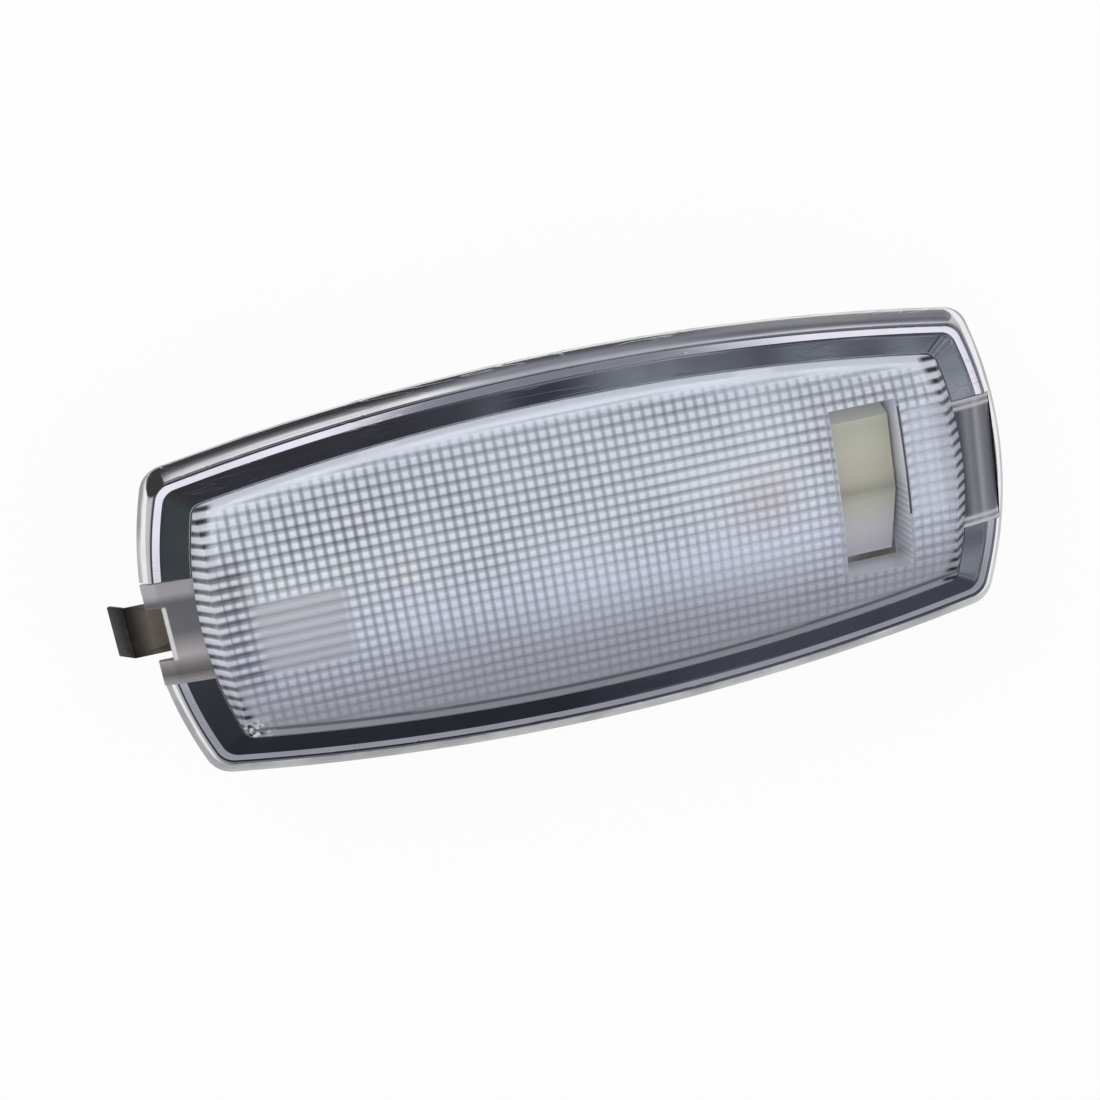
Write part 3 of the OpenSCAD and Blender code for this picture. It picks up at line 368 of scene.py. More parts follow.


# %% [markdown]
# ## Finishes
# Every finish starts from one of two families. A metal takes its colour in the shader's base, with
# scratches on its roughness and a little dust. The chrome also has a painted dark reflection: its base
# colour is darker low on its outer wall, near the roof lining. A moulding takes a grain, a slow change of
# shade and the same dust.

# %% Metal and moulding finishes
DARK_REFLECTION_FADE, DARK_REFLECTION_WAVE = 0.4 * MM, 0.8 * MM


def metal(name, color, rough, spread=0.08, depth=0.15, dusty=0.15, tarnish=None, dark_reflection=None):
    """A metal finish: colour, least roughness, what scratches add, their depth, dust and second colour.

    With the last argument, (height, lean), a painted dark reflection darkens the plating below an uneven
    line, whose height is height - lean * (the Y part of the surface's direction), so it climbs on the side
    that faces -Y.
    """
    material, tree, shader = new_material(name)
    lines = use_group(tree, scratches, Roughness=rough, Spread=spread, Depth=depth)
    film = use_group(tree, dust, Amount=dusty)
    place = add(tree, "ShaderNodeTexCoord")
    clouds = noise(tree, place.outputs["Object"], 150.0, 3.0)
    spots = fade(tree, clouds, 0.4, 0.7)
    base = blend(tree, spots, color, tarnish or tuple(v * 0.9 for v in color))
    if dark_reflection:
        height, lean = dark_reflection
        # Painted dark reflection: the base colour turns darker below an uneven line low on the outer wall
        facing = add(tree, "ShaderNodeSeparateXYZ", {0: place.outputs["Normal"]})
        uneven = product(tree, math_node(tree, "SUBTRACT", clouds, 0.5), DARK_REFLECTION_WAVE)
        level = math_node(tree, "ADD", object_axes(tree)["Z"], uneven)
        level = math_node(tree, "ADD", level, product(tree, facing.outputs["Y"], lean))
        dark_reflection_mask = step(tree, level, height, height - DARK_REFLECTION_FADE)
        dark_reflection_color = blend(tree, spots, tuple(v * 0.36 for v in color), tuple(v * 0.56 for v in color))
        base = blend(tree, dark_reflection_mask, base, dark_reflection_color)
    plug(tree, shader, "Base Color", blend(tree, film.outputs[0], base, (0.5, 0.49, 0.47)))
    plug(tree, shader, "Roughness", lines.outputs["Roughness"])
    plug(tree, shader, "Normal", lines.outputs["Normal"])
    shader.inputs["Metallic"].default_value = 1.0
    return material


def moulding(name, color, second, rough, depth=0.12, dusty=0.2, **settings):
    """A plastic finish: two close colours in slow patches, grain, dust and any plain shader settings."""
    material, tree, shader = new_material(name)
    skin = use_group(tree, grain, Depth=depth)
    film = use_group(tree, dust, Amount=dusty)
    base = blend(tree, skin.outputs["Shade"], color, second)
    plug(tree, shader, "Base Color", blend(tree, film.outputs[0], base, (0.55, 0.54, 0.5)))
    plug(tree, shader, "Roughness", math_node(tree, "ADD", product(tree, film.outputs[0], 0.5), rough))
    plug(tree, shader, "Normal", skin.outputs["Normal"])
    for key, value in settings.items():
        shader.inputs[key].default_value = value
    return material


chrome = metal("bright_chrome", (0.86, 0.87, 0.89), 0.05, 0.05, 0.04, 0.08, dark_reflection=(18.4 * MM, 1.3 * MM))
blued = metal("blued_spring_steel", (0.1, 0.085, 0.07), 0.3, 0.2, 0.1, 0.08, (0.14, 0.115, 0.09))
steel = metal("plain_steel", (0.6, 0.6, 0.6), 0.28, 0.15, 0.2, 0.2)
nickel = metal("nickel_plate", (0.74, 0.72, 0.68), 0.22, 0.12, 0.2, 0.2)
brass = metal("stamped_brass", (0.72, 0.58, 0.34), 0.25, 0.15, 0.2, 0.2, (0.5, 0.36, 0.2))
bright_sheet = metal("bright_sheet", (0.88, 0.89, 0.9), 0.3, 0.15, 0.1, 0.2)
tungsten = metal("drawn_wire", (0.35, 0.34, 0.33), 0.3, 0.1, 0.0, 0.0)
white = moulding("white_moulding", (0.82, 0.82, 0.8), (0.76, 0.76, 0.73), 0.45)
black = moulding("dark_moulding", (0.13, 0.13, 0.14), (0.1, 0.1, 0.11), 0.5)

# %% [markdown]
# ## Outlines
# Frame and lens share one family of outlines: two bowed ends and two bowed sides that meet in rounded
# corners. Each bow is an arc of a large circle. An outline is set by how far it lies inside the lamp's
# ends and sides, by its two bows and by its corner radius, so the same function gives the rim, the crest
# and the lens.

# %% Outline function
FRAME_L, FRAME_W = 111.8 * MM, 48.6 * MM
SEAT_Z = 20 * MM
FLANGE_Z = 15.7 * MM
SEAT_END_IN, SEAT_SIDE_IN = 6.45 * MM, 5.4 * MM


def outline(end_in, side_in, end_bow, side_bow, corner):
    """Arcs of an outline. A bow s over a half chord h lies on a circle of radius (h h + s s) / 2 s.

    The corner's centre is where the two arcs, both moved in by the corner radius, cross.
    """
    half_l, half_w = FRAME_L / 2 - end_in, FRAME_W / 2 - side_in
    side_r = ((half_l - end_bow) ** 2 + side_bow ** 2) / (2 * side_bow)
    end_r = ((half_w - side_bow) ** 2 + end_bow ** 2) / (2 * end_bow)
    side_c, end_c = half_w - side_r, half_l - end_r
    span = np.hypot(end_c, side_c)
    unit = np.array((end_c, -side_c)) / span
    ra, rb = side_r - corner, end_r - corner
    along = (ra * ra - rb * rb + span * span) / (2 * span)
    rise = math.sqrt(ra * ra - along * along)
    centre = np.array((0, side_c)) + along * unit + rise * np.array((unit[1], -unit[0]))
    return {"side_r": side_r, "end_r": end_r, "side_c": side_c, "end_c": end_c, "corner": corner,
            "centre": centre, "half": (half_l, half_w)}


def quarter(o, end_n, corner_n, side_n):
    """Points of one quarter, from the end's middle round the corner to the long side's middle."""
    cx, cy = o["centre"]
    at_end = math.atan2(cy, cx - o["end_c"])
    at_side = math.atan2(cy - o["side_c"], cx)
    a = np.linspace(0, at_end, end_n, endpoint=False)
    b = np.linspace(at_end, at_side, corner_n, endpoint=False)
    c = np.linspace(at_side, math.pi / 2, side_n)
    arcs = (((o["end_c"], 0), o["end_r"], a), ((cx, cy), o["corner"], b), ((0, o["side_c"]), o["side_r"], c))
    return np.concatenate([m + r * np.stack((np.cos(t), np.sin(t)), 1) for m, r, t in arcs])


def loop(o, end_n=24, corner_n=14, side_n=48):
    """The whole outline: one quarter, then its three mirror images, each run the other way where needed."""
    q = quarter(o, end_n, corner_n, side_n)
    left = q[-2::-1] * (-1, 1)
    under = q[1:] * (-1, -1)
    right = q[-2:0:-1] * (1, -1)
    return np.concatenate((q, left, under, right))


def reach(o, y):
    """How far the outline goes along X at a given y: on the end's arc, the corner's or the side's."""
    cx, cy = o["centre"]
    at_end = math.atan2(cy, cx - o["end_c"])
    at_side = math.atan2(cy - o["side_c"], cx)
    y = np.abs(y)
    on_end = o["end_c"] + np.sqrt(np.maximum(o["end_r"] ** 2 - y ** 2, 0))
    on_corner = cx + np.sqrt(np.maximum(o["corner"] ** 2 - (y - cy) ** 2, 0))
    on_side = np.sqrt(np.maximum(o["side_r"] ** 2 - (y - o["side_c"]) ** 2, 0))
    low, high = o["end_r"] * math.sin(at_end), o["side_c"] + o["side_r"] * math.sin(at_side)
    return np.where(y < low, on_end, np.where(y < high, on_corner, on_side))


def seat_in(d):
    """The lens seat's outline, drawn in by d."""
    return outline(SEAT_END_IN + d, SEAT_SIDE_IN + d, 2.5 * MM, 3.75 * MM, max(1.7 * MM - d, 0.51 * MM))


rim = outline(0, 0, 3.9 * MM, 4.5 * MM, 3.6 * MM)
crest = outline(1.9 * MM, 2.3 * MM, 3.5 * MM, 4.35 * MM, 2.4 * MM)
seat = seat_in(0)
print("outline points:", len(loop(rim)), "seat half size in mm:", [round(v / MM, 2) for v in seat["half"]])

# %% [markdown]
# ## Mesh helpers
# A surface here is a grid of points worked out as whole arrays. One helper turns a closed grid into a
# mesh, and another carries a closed profile along the lamp's outlines. Where a real mould adds a lug or
# cuts a slot, a Boolean modifier does the same to the finished surface and is then applied.

# %% Mesh helpers
def make_object(name, points, faces):
    """An object in the scene from an array of points and a list of faces."""
    mesh = bpy.data.meshes.new(name)
    mesh.from_pydata(np.asarray(points).tolist(), [], faces)
    mesh.update()
    piece = bpy.data.objects.new(name, mesh)
    bpy.context.scene.collection.objects.link(piece)
    return piece


def tidy_mesh(piece, sharp=None):
    """Merges doubles, turns every face outwards and, with an angle, shades smooth but for sharper edges."""
    shape = bmesh.new()
    shape.from_mesh(piece.data)
    bmesh.ops.remove_doubles(shape, verts=shape.verts, dist=1e-7)
    bmesh.ops.dissolve_degenerate(shape, dist=1e-7, edges=shape.edges)
    bmesh.ops.recalc_face_normals(shape, faces=shape.faces)
    shape.to_mesh(piece.data)
    shape.free()
    if sharp:
        piece.data.polygons.foreach_set("use_smooth", np.ones(len(piece.data.polygons), bool))
        piece.data.set_sharp_from_angle(angle=math.radians(sharp))
    return piece


def carry(name, levels):
    """Carries a profile round an outline: levels are (loop of points, height) and close into a ring."""
    n = len(levels[0][0])
    m = len(levels)
    points = np.concatenate([np.column_stack((p, np.full(n, z))) for p, z in levels])
    j, i = np.meshgrid(np.arange(m), np.arange(n), indexing="ij")
    a, b = j * n + i, j * n + (i + 1) % n
    c, d = (j + 1) % m * n + (i + 1) % n, (j + 1) % m * n + i
    faces = np.stack((a, b, c, d), -1).reshape(-1, 4)
    return make_object(name, points, faces.tolist())


def blocks(name, *spans):
    """Several boxes in one mesh: each span is ((x0, x1), (y0, y1), (z0, z1)) in metres."""
    corners = np.array([[(x, y, z) for x in s[0] for y in s[1] for z in s[2]] for s in spans])
    box = np.array([(0, 1, 3, 2), (4, 6, 7, 5), (0, 4, 5, 1), (2, 3, 7, 6), (0, 2, 6, 4), (1, 5, 7, 3)])
    faces = np.concatenate([box + 8 * k for k in range(len(spans))])
    return make_object(name, corners.reshape(-1, 3), faces.tolist())


def apply_modifiers(piece):
    """Turns what the modifiers make of a piece into its own mesh."""
    bpy.context.view_layer.update()
    finished = piece.evaluated_get(bpy.context.evaluated_depsgraph_get())
    mesh = bpy.data.meshes.new_from_object(finished)
    piece.modifiers.clear()
    piece.data = mesh
    return piece


def carve(piece, tool, operation):
    """Adds (UNION) or cuts away (DIFFERENCE) the tool, applies the modifier and removes the tool."""
    modifier = piece.modifiers.new(operation.lower(), "BOOLEAN")
    modifier.operation = operation
    modifier.object = tool
    modifier.solver = "MANIFOLD"
    apply_modifiers(piece)
    bpy.data.objects.remove(tool)
    return piece


def finish(piece, material, slot, *replaced, body="lamp"):
    """Gives a piece its material and its body, and hides the solids it stands for; the slot is not used."""
    piece.data.materials.clear()
    piece.data.materials.append(material)
    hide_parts(*replaced)
    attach(piece, body)
    print(piece.name, "faces:", len(piece.data.polygons))
    return piece


# %% [markdown]
# ## Chrome frame
# The real frame is one die casting with a bright plated skin. Its section has a rounded outer wall, a
# narrow flat land on its crest, and a flat bevel that climbs to the lens. In bright plating every facet
# would show, so the section and the outlines get many more points than the solid has, and the section's
# outer wall is a smooth curve through the solid's points. A lug of the lens lies over each end, so the
# frame has a gap at the clip's end and a low floor at the other.

# %% Chrome frame
CREST_H = 2.15 * MM
WALL = 1.1 * MM
HALF_WALL = WALL / 2
FIT = 0.1 * MM
NEAR_LUG_TIP, NEAR_LUG_HALF = 55.38 * MM, 6.5 * MM
FAR_LUG_TIP, FAR_LUG_HALF = 54.19 * MM, 8.4 * MM
LUG_Z = ROOF_Z * MM + CREST_H * 0.4
# Cuts start below the flange and run on past the lamp's end and top
CUT_LOW, CUT_TOP, CUT_END = FLANGE_Z - MM, 24 * MM, 70 * MM
LAND_END_SHARE, BEVEL_SHARE = 1.19, 0.79


def between(share):
    """Points at a share of the way from the rim (0) over the crest (1) to the lens seat (2)."""
    a, b = (rim, crest) if share < 1 else (crest, seat)
    t = share if share < 1 else share - 1
    return loop(a) * (1 - t) + loop(b) * t


# Outer wall and crest, as shares of the way and of the crest's height; a cubic curve rounds them
wall = np.array([(0, 0.12), (0.1, 0.25), (0.25, 0.43), (0.4, 0.595), (0.56, 0.755), (0.72, 0.885),
                 (0.84, 0.95), (0.93, 0.975), (1.02, 0.985), (1.1, 0.993), (1.17, 0.998),
                 (LAND_END_SHARE, 1.0)])


def rounded(points, n):
    """A Catmull-Rom curve: cubic weights blend four neighbouring points between each two."""
    p = np.concatenate((points[:1] * 2 - points[1:2], points, points[-1:] * 2 - points[-2:-1]))
    t = np.linspace(0, 1, n, endpoint=False)[:, None, None]
    a, b, c, d = (p[k:len(p) - 3 + k] for k in range(4))
    curve = (b * 2 + (c - a) * t + (a * 2 - b * 5 + c * 4 - d) * t ** 2
             + (b * 3 - a - c * 3 + d) * t ** 3) / 2
    return np.concatenate((curve.transpose(1, 0, 2).reshape(-1, 2), points[-1:]))


outer = np.concatenate((np.zeros((1, 2)), rounded(wall, 3)))
section = [(between(u), ROOF_Z * MM + CREST_H * z) for u, z in outer]
climb = np.linspace(0, 1, 6)[1:]
z_low = section[-1][1]
section += [(between(LAND_END_SHARE + BEVEL_SHARE * t), z_low + (SEAT_Z - 0.02 * MM - z_low) * t)
            for t in climb]
section += [(between(2), SEAT_Z - 0.06 * MM), (between(2), FLANGE_Z), (between(1.8), FLANGE_Z),
            (between(1.8), SEAT_Z - WALL), (between(1.05), ROOF_Z * MM + CREST_H - WALL),
            (between(0.55), ROOF_Z * MM)]
chrome_frame = tidy_mesh(carry("chrome_frame", section))
seat_end = seat["half"][0]
near_gap = ((-CUT_END, -seat_end + MM), (-NEAR_LUG_HALF - FIT, NEAR_LUG_HALF + FIT), (CUT_LOW, CUT_TOP))
far_gap = ((seat_end - MM, FAR_LUG_TIP + FIT), (-FAR_LUG_HALF - FIT, FAR_LUG_HALF + FIT),
           (LUG_Z - FIT, CUT_TOP))
far_floor = ((seat_end + HALF_WALL, FAR_LUG_TIP + HALF_WALL),
             (-FAR_LUG_HALF - HALF_WALL, FAR_LUG_HALF + HALF_WALL), (ROOF_Z * MM + FIT, LUG_Z - FIT))
carve(chrome_frame, blocks("gaps", near_gap, far_gap), "DIFFERENCE")
carve(chrome_frame, blocks("floor_under_lug", far_floor), "UNION")
tidy_mesh(chrome_frame, 24)
finish(chrome_frame, chrome, "frame_chrome", "bezel")

# %% [markdown]
# ## Ribbed lens
# The lens is one clear moulding. Rounded rows run along its outside and rounded columns across its
# inside, so each crossing works as a small cushion lens that spreads the bulb's light. Both faces are
# height maps over the lens outline. Every row of points is clipped to the outline at its own y, which
# makes the edge exact; points past the edge fall on it and are merged.

# %% Lens height maps
PER_RIB = 8
CROWN_R, CROWN_Z = 66 * MM, -42.7 * MM
ROW_PITCH, ROW_DEPTH, ROW_N = 1.4 * MM, 0.3 * MM, 23
COLUMN_PITCH, COLUMN_DEPTH, COLUMN_N = 1.33 * MM, 0.35 * MM, 69
LENS_T = 2 * MM
EDGE_Z = SEAT_Z + 0.25 * MM
WINDOW_X = (31.6 * MM, 40.4 * MM)
WINDOW_Y = 10.997 * MM
SHAFT_T = 1 * MM
SHAFT_LOW = 16.4 * MM
BORDER = 0.6 * MM
MOUTH_SHARE, MOUTH_HALF = 0.62, 3.4 * MM
lens_outline = seat_in(0.15 * MM)
core_outline = seat_in(1.35 * MM)
field_outline = seat_in(3.45 * MM)


def ribs(place, pitch, count, depth):
    """Depth below the crests at a place across the ribs: (1 - 2 s)^2 for s from groove to crest."""
    start = -count * pitch / 2
    s = np.mod((place - start) / pitch, 1.0)
    drop = depth * (0.1 + 0.9 * (1 - 2 * np.minimum(s, 1 - s)) ** 2)
    return np.where(np.abs(place) < -start, drop, 0.0)


def climb_in(o, x, y, edge_z):
    """Height of the sloped shoulders: the edge's height plus a rise with the distance from side and end."""
    side_edge = o["side_c"] + np.sqrt(np.maximum(o["side_r"] ** 2 - x ** 2, 0))
    end_edge = o["end_c"] + np.sqrt(np.maximum(o["end_r"] ** 2 - y ** 2, 0))
    from_side = (side_edge - np.abs(y)) * 0.92 / 2.1
    from_end = (end_edge - np.abs(x)) * 3 / 2.4
    return edge_z + np.maximum(np.minimum(from_side, from_end), 0)


def outer_face(x, y):
    """The outside: shoulders, crowned top with rows, and a plain border round the rocker's window."""
    crown = CROWN_Z + np.sqrt(CROWN_R ** 2 - y ** 2)
    plain = (x > WINDOW_X[0] - BORDER) & (x < WINDOW_X[1] + BORDER) & (np.abs(y) < WINDOW_Y + BORDER)
    top = crown - np.where(plain, 0.0, ribs(y, ROW_PITCH, ROW_N, ROW_DEPTH))
    return np.minimum(top, climb_in(lens_outline, x, y, EDGE_Z))


def inner_face(x, y):
    """The inside: the same crown less the wall, with columns that hang down into the lamp."""
    inside = (np.abs(y) < field_outline["half"][1] - 0.3 * MM) & (np.abs(x) < reach(field_outline, y))
    radius = CROWN_R - LENS_T + np.where(inside, ribs(x, COLUMN_PITCH, COLUMN_N, COLUMN_DEPTH), 0.0)
    crown = CROWN_Z + np.sqrt(radius ** 2 - y ** 2)
    return np.minimum(crown, climb_in(core_outline, x, y, EDGE_Z - LENS_T))


def dome(name, o, face, xs, ys, z_low):
    """A closed solid under a height map: clipped grid on top, wall down to z_low, flat underside."""
    ys = np.unique(np.concatenate((ys, -ys)))
    limit = reach(o, ys)[:, None]
    x = np.clip(xs[None, :], -limit, limit)
    y = np.broadcast_to(ys[:, None], x.shape)
    points = np.stack((x, y, face(x, y)), -1).reshape(-1, 3)
    rows, columns = x.shape
    j, i = np.meshgrid(np.arange(rows - 1), np.arange(columns - 1), indexing="ij")
    a = (j * columns + i).ravel()
    faces = np.stack((a, a + 1, a + columns + 1, a + columns), 1)
    width = np.ptp(points[faces][:, :, 0], axis=1)
    faces = faces[width > 1e-7]
    right = np.arange(rows) * columns + columns - 1
    left = np.arange(rows)[::-1] * columns
    first = np.arange(columns - 2, 0, -1)
    last = (rows - 1) * columns + np.arange(columns - 2, 0, -1)
    ring = np.concatenate((right, last, left, first[::-1]))
    low = points[ring] * (1, 1, 0) + (0, 0, z_low)
    n = len(ring)
    k = np.arange(n)
    walls = np.stack((ring[k], ring[(k + 1) % n], len(points) + (k + 1) % n, len(points) + k), 1)
    everything = faces.tolist() + walls.tolist() + [(len(points) + k[::-1]).tolist()]
    return tidy_mesh(make_object(name, np.concatenate((points, low)), everything))


print("lens height in the middle in mm:", round(float(outer_face(np.array(0.0), np.array(0.0))) / MM, 2))

# %% Lens
def extrude(name, profiles):
    """Profiles in X and Z carried across the lamp: each is (points, half width), with its two end faces."""
    points, faces = [], []
    for profile, half in profiles:
        p = np.asarray(profile)
        n, start = len(p), len(points)
        for y in (-half, half):
            points += np.column_stack((p[:, 0], np.full(n, y), p[:, 1])).tolist()
        k = np.arange(n)
        faces += (start + np.stack((k, (k + 1) % n, (k + 1) % n + n, k + n), 1)).tolist()
        faces += [(start + k[::-1]).tolist(), (start + n + k).tolist()]
    return tidy_mesh(make_object(name, points, faces))


def lug(tip, side):
    """Section of a lug: flat underneath, sloping from the lens edge down to its tip, where it bends."""
    root, bend = seat_end - 1.2 * MM, seat_end + (tip - seat_end) * 0.72
    base = ROOF_Z * MM
    points = [(root, LUG_Z), (tip, LUG_Z), (tip, base + CREST_H * 0.72),
              (tip - 0.12 * MM, base + CREST_H * 0.79), (bend + 0.3 * MM, base + CREST_H * 1.01),
              (bend, base + CREST_H * 1.07), (bend - 0.4 * MM, base + CREST_H * 1.12), (root, EDGE_Z)]
    return np.array(points) * (side, 1)


half_l, half_w = lens_outline["half"]
fine = np.linspace(0, 1, 24) ** 0.6
# Points across the rows: some to a rib, then closer and closer towards the edge, and round the border
row_span = ROW_N * ROW_PITCH / 2
row_ys = np.concatenate((np.arange(ROW_N * PER_RIB // 2 + 1) * ROW_PITCH / PER_RIB,
                         row_span + (half_w - row_span) * fine,
                         WINDOW_Y + BORDER + np.array((-0.01, 0.01)) * MM))
plain_l = 44.5 * MM
row_ends = np.linspace(plain_l, half_l, 26)
border_x = [x + side * (BORDER + gap * MM) for x, side in zip(WINDOW_X, (-1, 1)) for gap in (0.01, -0.01)]
row_xs = np.unique(np.concatenate((np.linspace(-plain_l, plain_l, 90), row_ends, -row_ends, border_x)))
ribbed_lens = dome("ribbed_lens", lens_outline, outer_face, row_xs, row_ys, FLANGE_Z)
core_l, core_w = core_outline["half"]
half_steps = COLUMN_N * PER_RIB // 2
column_end, column_y = 45.9 * MM, 14.4 * MM
column_ends = np.linspace(column_end, core_l, 10)
column_xs = np.concatenate((np.arange(-half_steps, half_steps + 1) * COLUMN_PITCH / PER_RIB,
                            column_ends, -column_ends))
column_ys = np.concatenate((np.linspace(0, column_y, 14), column_y + (core_w - column_y) * fine))
hollow = dome("hollow", core_outline, inner_face, np.unique(column_xs), column_ys, FLANGE_Z - MM)
shaft = blocks("shaft", ((WINDOW_X[0] - SHAFT_T, WINDOW_X[1] + SHAFT_T),
                         (-WINDOW_Y - SHAFT_T, WINDOW_Y + SHAFT_T), (SHAFT_LOW, CUT_TOP + MM)))
carve(hollow, tidy_mesh(shaft), "DIFFERENCE")
lugs = extrude("lugs", [(lug(NEAR_LUG_TIP, -1), NEAR_LUG_HALF), (lug(FAR_LUG_TIP, 1), FAR_LUG_HALF)])
carve(ribbed_lens, lugs, "UNION")
carve(ribbed_lens, hollow, "DIFFERENCE")
mouth_x = -seat_end - SEAT_END_IN * MOUTH_SHARE
window = (WINDOW_X, (-WINDOW_Y, WINDOW_Y), (SHAFT_LOW - 2 * MM, CUT_TOP + 2 * MM))
mouth = ((-CUT_END, mouth_x), (-MOUTH_HALF, MOUTH_HALF), (CUT_LOW, CUT_TOP))
carve(ribbed_lens, tidy_mesh(blocks("cuts", window, mouth)), "DIFFERENCE")
tidy_mesh(ribbed_lens, 30)
ribbed_lens.visible_shadow = False

# %% [markdown]
# The clear plastic's colour is painted with light and shade: pale where the cushions catch the light
# and a grey-blue painted shade in the grooves, where light is bent aside. The grooves are found from the
# place across the ribs, with the same pitch as the mould, so the colour sits exactly on the shape. What
# shows blurred through the ribs, such as the white contact tower, the brass strip and the painted glint of
# the bulb's tip, is a soft painted patch at its place on the lens. Each patch is a rectangle: its middle
# in X and Y, its half sizes and how softly it ends, all in millimetres.

# %% Masks over the lens
TOWER = (-37, -2.2, 5.5, 4.5, 0.6)
BOSS = (45.5, 2.6, 4.2, 7.0, 0.5)
SHAFT = (36, 0, 5.6, 12.2, 0.05)
BULB_TIP_GLINT = (-23.2, 1.9, 0.8, 1.1, 0.7)
BRASS_STRIP = (22.4, 1.6, 3.2, 2.6, 2.2)
ROWS_HIDDEN = (-4, -4.5, 24, 3.0, 3.0)
COLUMNS_HIDDEN = (17, 6.5, 10, 4.5, 4.0)
BOTH_HIDDEN = (19, -5.5, 8, 4.0, 4.0)
WINDOW_SHADOW_LINE = (40.55, 3, 0.14, 7.0, 0.04)
MOUTH_EDGE_HIGHLIGHT = (-53.15, 0, 0.25, 3.4, 0.1)
NEAR_CORNER = (-45.8, -14.6, 1.6, 1.6, 1.0)

clear_plastic, tree, shader = new_material("clear_ribbed_plastic")
spot = add(tree, "ShaderNodeTexCoord")
axes = object_axes(tree)
along, over = axes["X"], axes["Y"]
facing = add(tree, "ShaderNodeSeparateXYZ", {0: spot.outputs["Normal"]})


def groove_mask(tree, place, pitch, count, width):
    """1 along each groove and 0 on the crest: the place over the pitch, its fraction, and a soft step."""
    span = count * pitch / 2
    turns = math_node(tree, "DIVIDE", math_node(tree, "ADD", place, span), pitch)
    s = math_node(tree, "FRACT", turns)
    near = math_node(tree, "MINIMUM", s, math_node(tree, "SUBTRACT", 1.0, s))
    band = ramp(tree, near, [(0.0, 1.0), (width * 0.45, 0.85), (width, 0.0)])
    return product(tree, band, math_node(tree, "LESS_THAN", math_node(tree, "ABSOLUTE", place), span))


def from_edge(tree, low, high, half, bow_r):
    """How far inside a bowed edge a place is, in cm: half, less |high| and the sagitta low^2 / 2 r."""
    sag = math_node(tree, "DIVIDE", product(tree, low, low), 2 * bow_r)
    reach_here = math_node(tree, "SUBTRACT", half, sag)
    gap = math_node(tree, "SUBTRACT", reach_here, math_node(tree, "ABSOLUTE", high))
    return math_node(tree, "DIVIDE", gap, 10 * MM)


def box_mask(tree, box):
    """1 inside a rectangle and 0 outside it, with a soft edge: the product of a step in X and one in Y."""
    x, y, half_x, half_y, soft = (v * MM for v in box)
    far_x = math_node(tree, "ABSOLUTE", math_node(tree, "SUBTRACT", along, x))
    far_y = math_node(tree, "ABSOLUTE", math_node(tree, "SUBTRACT", over, y))
    return product(tree, step(tree, far_x, half_x + soft, half_x - soft),
                   step(tree, far_y, half_y + soft, half_y - soft))


end_gap = from_edge(tree, over, along, lens_outline["half"][0], lens_outline["end_r"])
side_gap = from_edge(tree, along, over, lens_outline["half"][1], lens_outline["side_r"])
outside = fade(tree, facing.outputs["Z"], 0.3, 0.45)
upright = math_node(tree, "SUBTRACT", 1.0, outside)
tower, boss = box_mask(tree, TOWER), box_mask(tree, BOSS)
print("lens half size in mm:", [round(v / MM, 2) for v in lens_outline["half"]])

# %% [markdown]
# The grid of painted groove shade is drawn from the two sets of grooves. Seen aslant they hide one
# another in turn, so the rows fade below the middle and the columns at the upper right. The columns vanish
# over the white tower, and all lines fade over the boss right of the window, where the cells are painted
# paler. The cells between the lines get painted light on the far side and painted shade on the near side.

# %% Lens grid
# The colour has one more row than the mould at each side, so that the lines reach the sloped shoulders
rows = groove_mask(tree, over, ROW_PITCH, ROW_N + 2, 0.32)
columns = less(tree, groove_mask(tree, along, COLUMN_PITCH, COLUMN_N, 0.3), tower)
both_hidden = box_mask(tree, BOTH_HIDDEN)
rows = less(tree, less(tree, rows, box_mask(tree, ROWS_HIDDEN), 0.62), both_hidden, 0.35)
columns = less(tree, less(tree, columns, box_mask(tree, COLUMNS_HIDDEN), 0.6), both_hidden, 0.35)
columns = product(tree, columns, fade(tree, end_gap, 0.28, 0.34),
                  fade(tree, side_gap, 0.1, 0.24))
grid = math_node(tree, "ADD", product(tree, math_node(tree, "MAXIMUM", rows, columns), 0.72),
                 product(tree, rows, columns, 0.28))
across_share = step(tree, over, -20 * MM, 20 * MM)
strength = ramp(tree, across_share, [(0.1, 0.42), (0.4, 0.68), (0.7, 1.0), (0.95, 0.8)])
slow = noise(tree, spot.outputs["Object"], 60.0, 2.0)
strength = product(tree, strength, ramp(tree, slow, [(0.35, 0.75), (0.6, 1.0)]))
strength = less(tree, less(tree, strength, tower, 0.5), boss, 0.65)
in_field = fade(tree, side_gap, 0.1, 0.15)
grid = product(tree, grid, strength, outside, in_field)
# Painted light and shade: the cells are paler on the far side and darker on the near side
cell = ramp(tree, across_share, [(0.05, (0.4, 0.41, 0.47)), (0.2, (0.49, 0.51, 0.58)),
                                 (0.4, (0.8, 0.84, 0.97)), (0.6, (0.9, 0.94, 1.0)),
                                 (0.95, (0.86, 0.9, 1.0))], True)
cell = blend(tree, product(tree, tower, 0.8), cell, (0.52, 0.535, 0.57))
cell = blend(tree, boss, cell, (0.7, 0.74, 0.84))
# A painted glint of the bulb's tip shows through at one spot, and the brass strip to the switch warms
# another in a painted patch
cell = blend(tree, product(tree, box_mask(tree, BULB_TIP_GLINT), 0.8), cell, (1.0, 1.0, 1.0))
cell = blend(tree, product(tree, box_mask(tree, BRASS_STRIP), 0.5), cell, (0.72, 0.63, 0.66))
lens_color = blend(tree, grid, cell, (0.115, 0.125, 0.155))
print("rows and columns of ribs:", ROW_N, COLUMN_N)
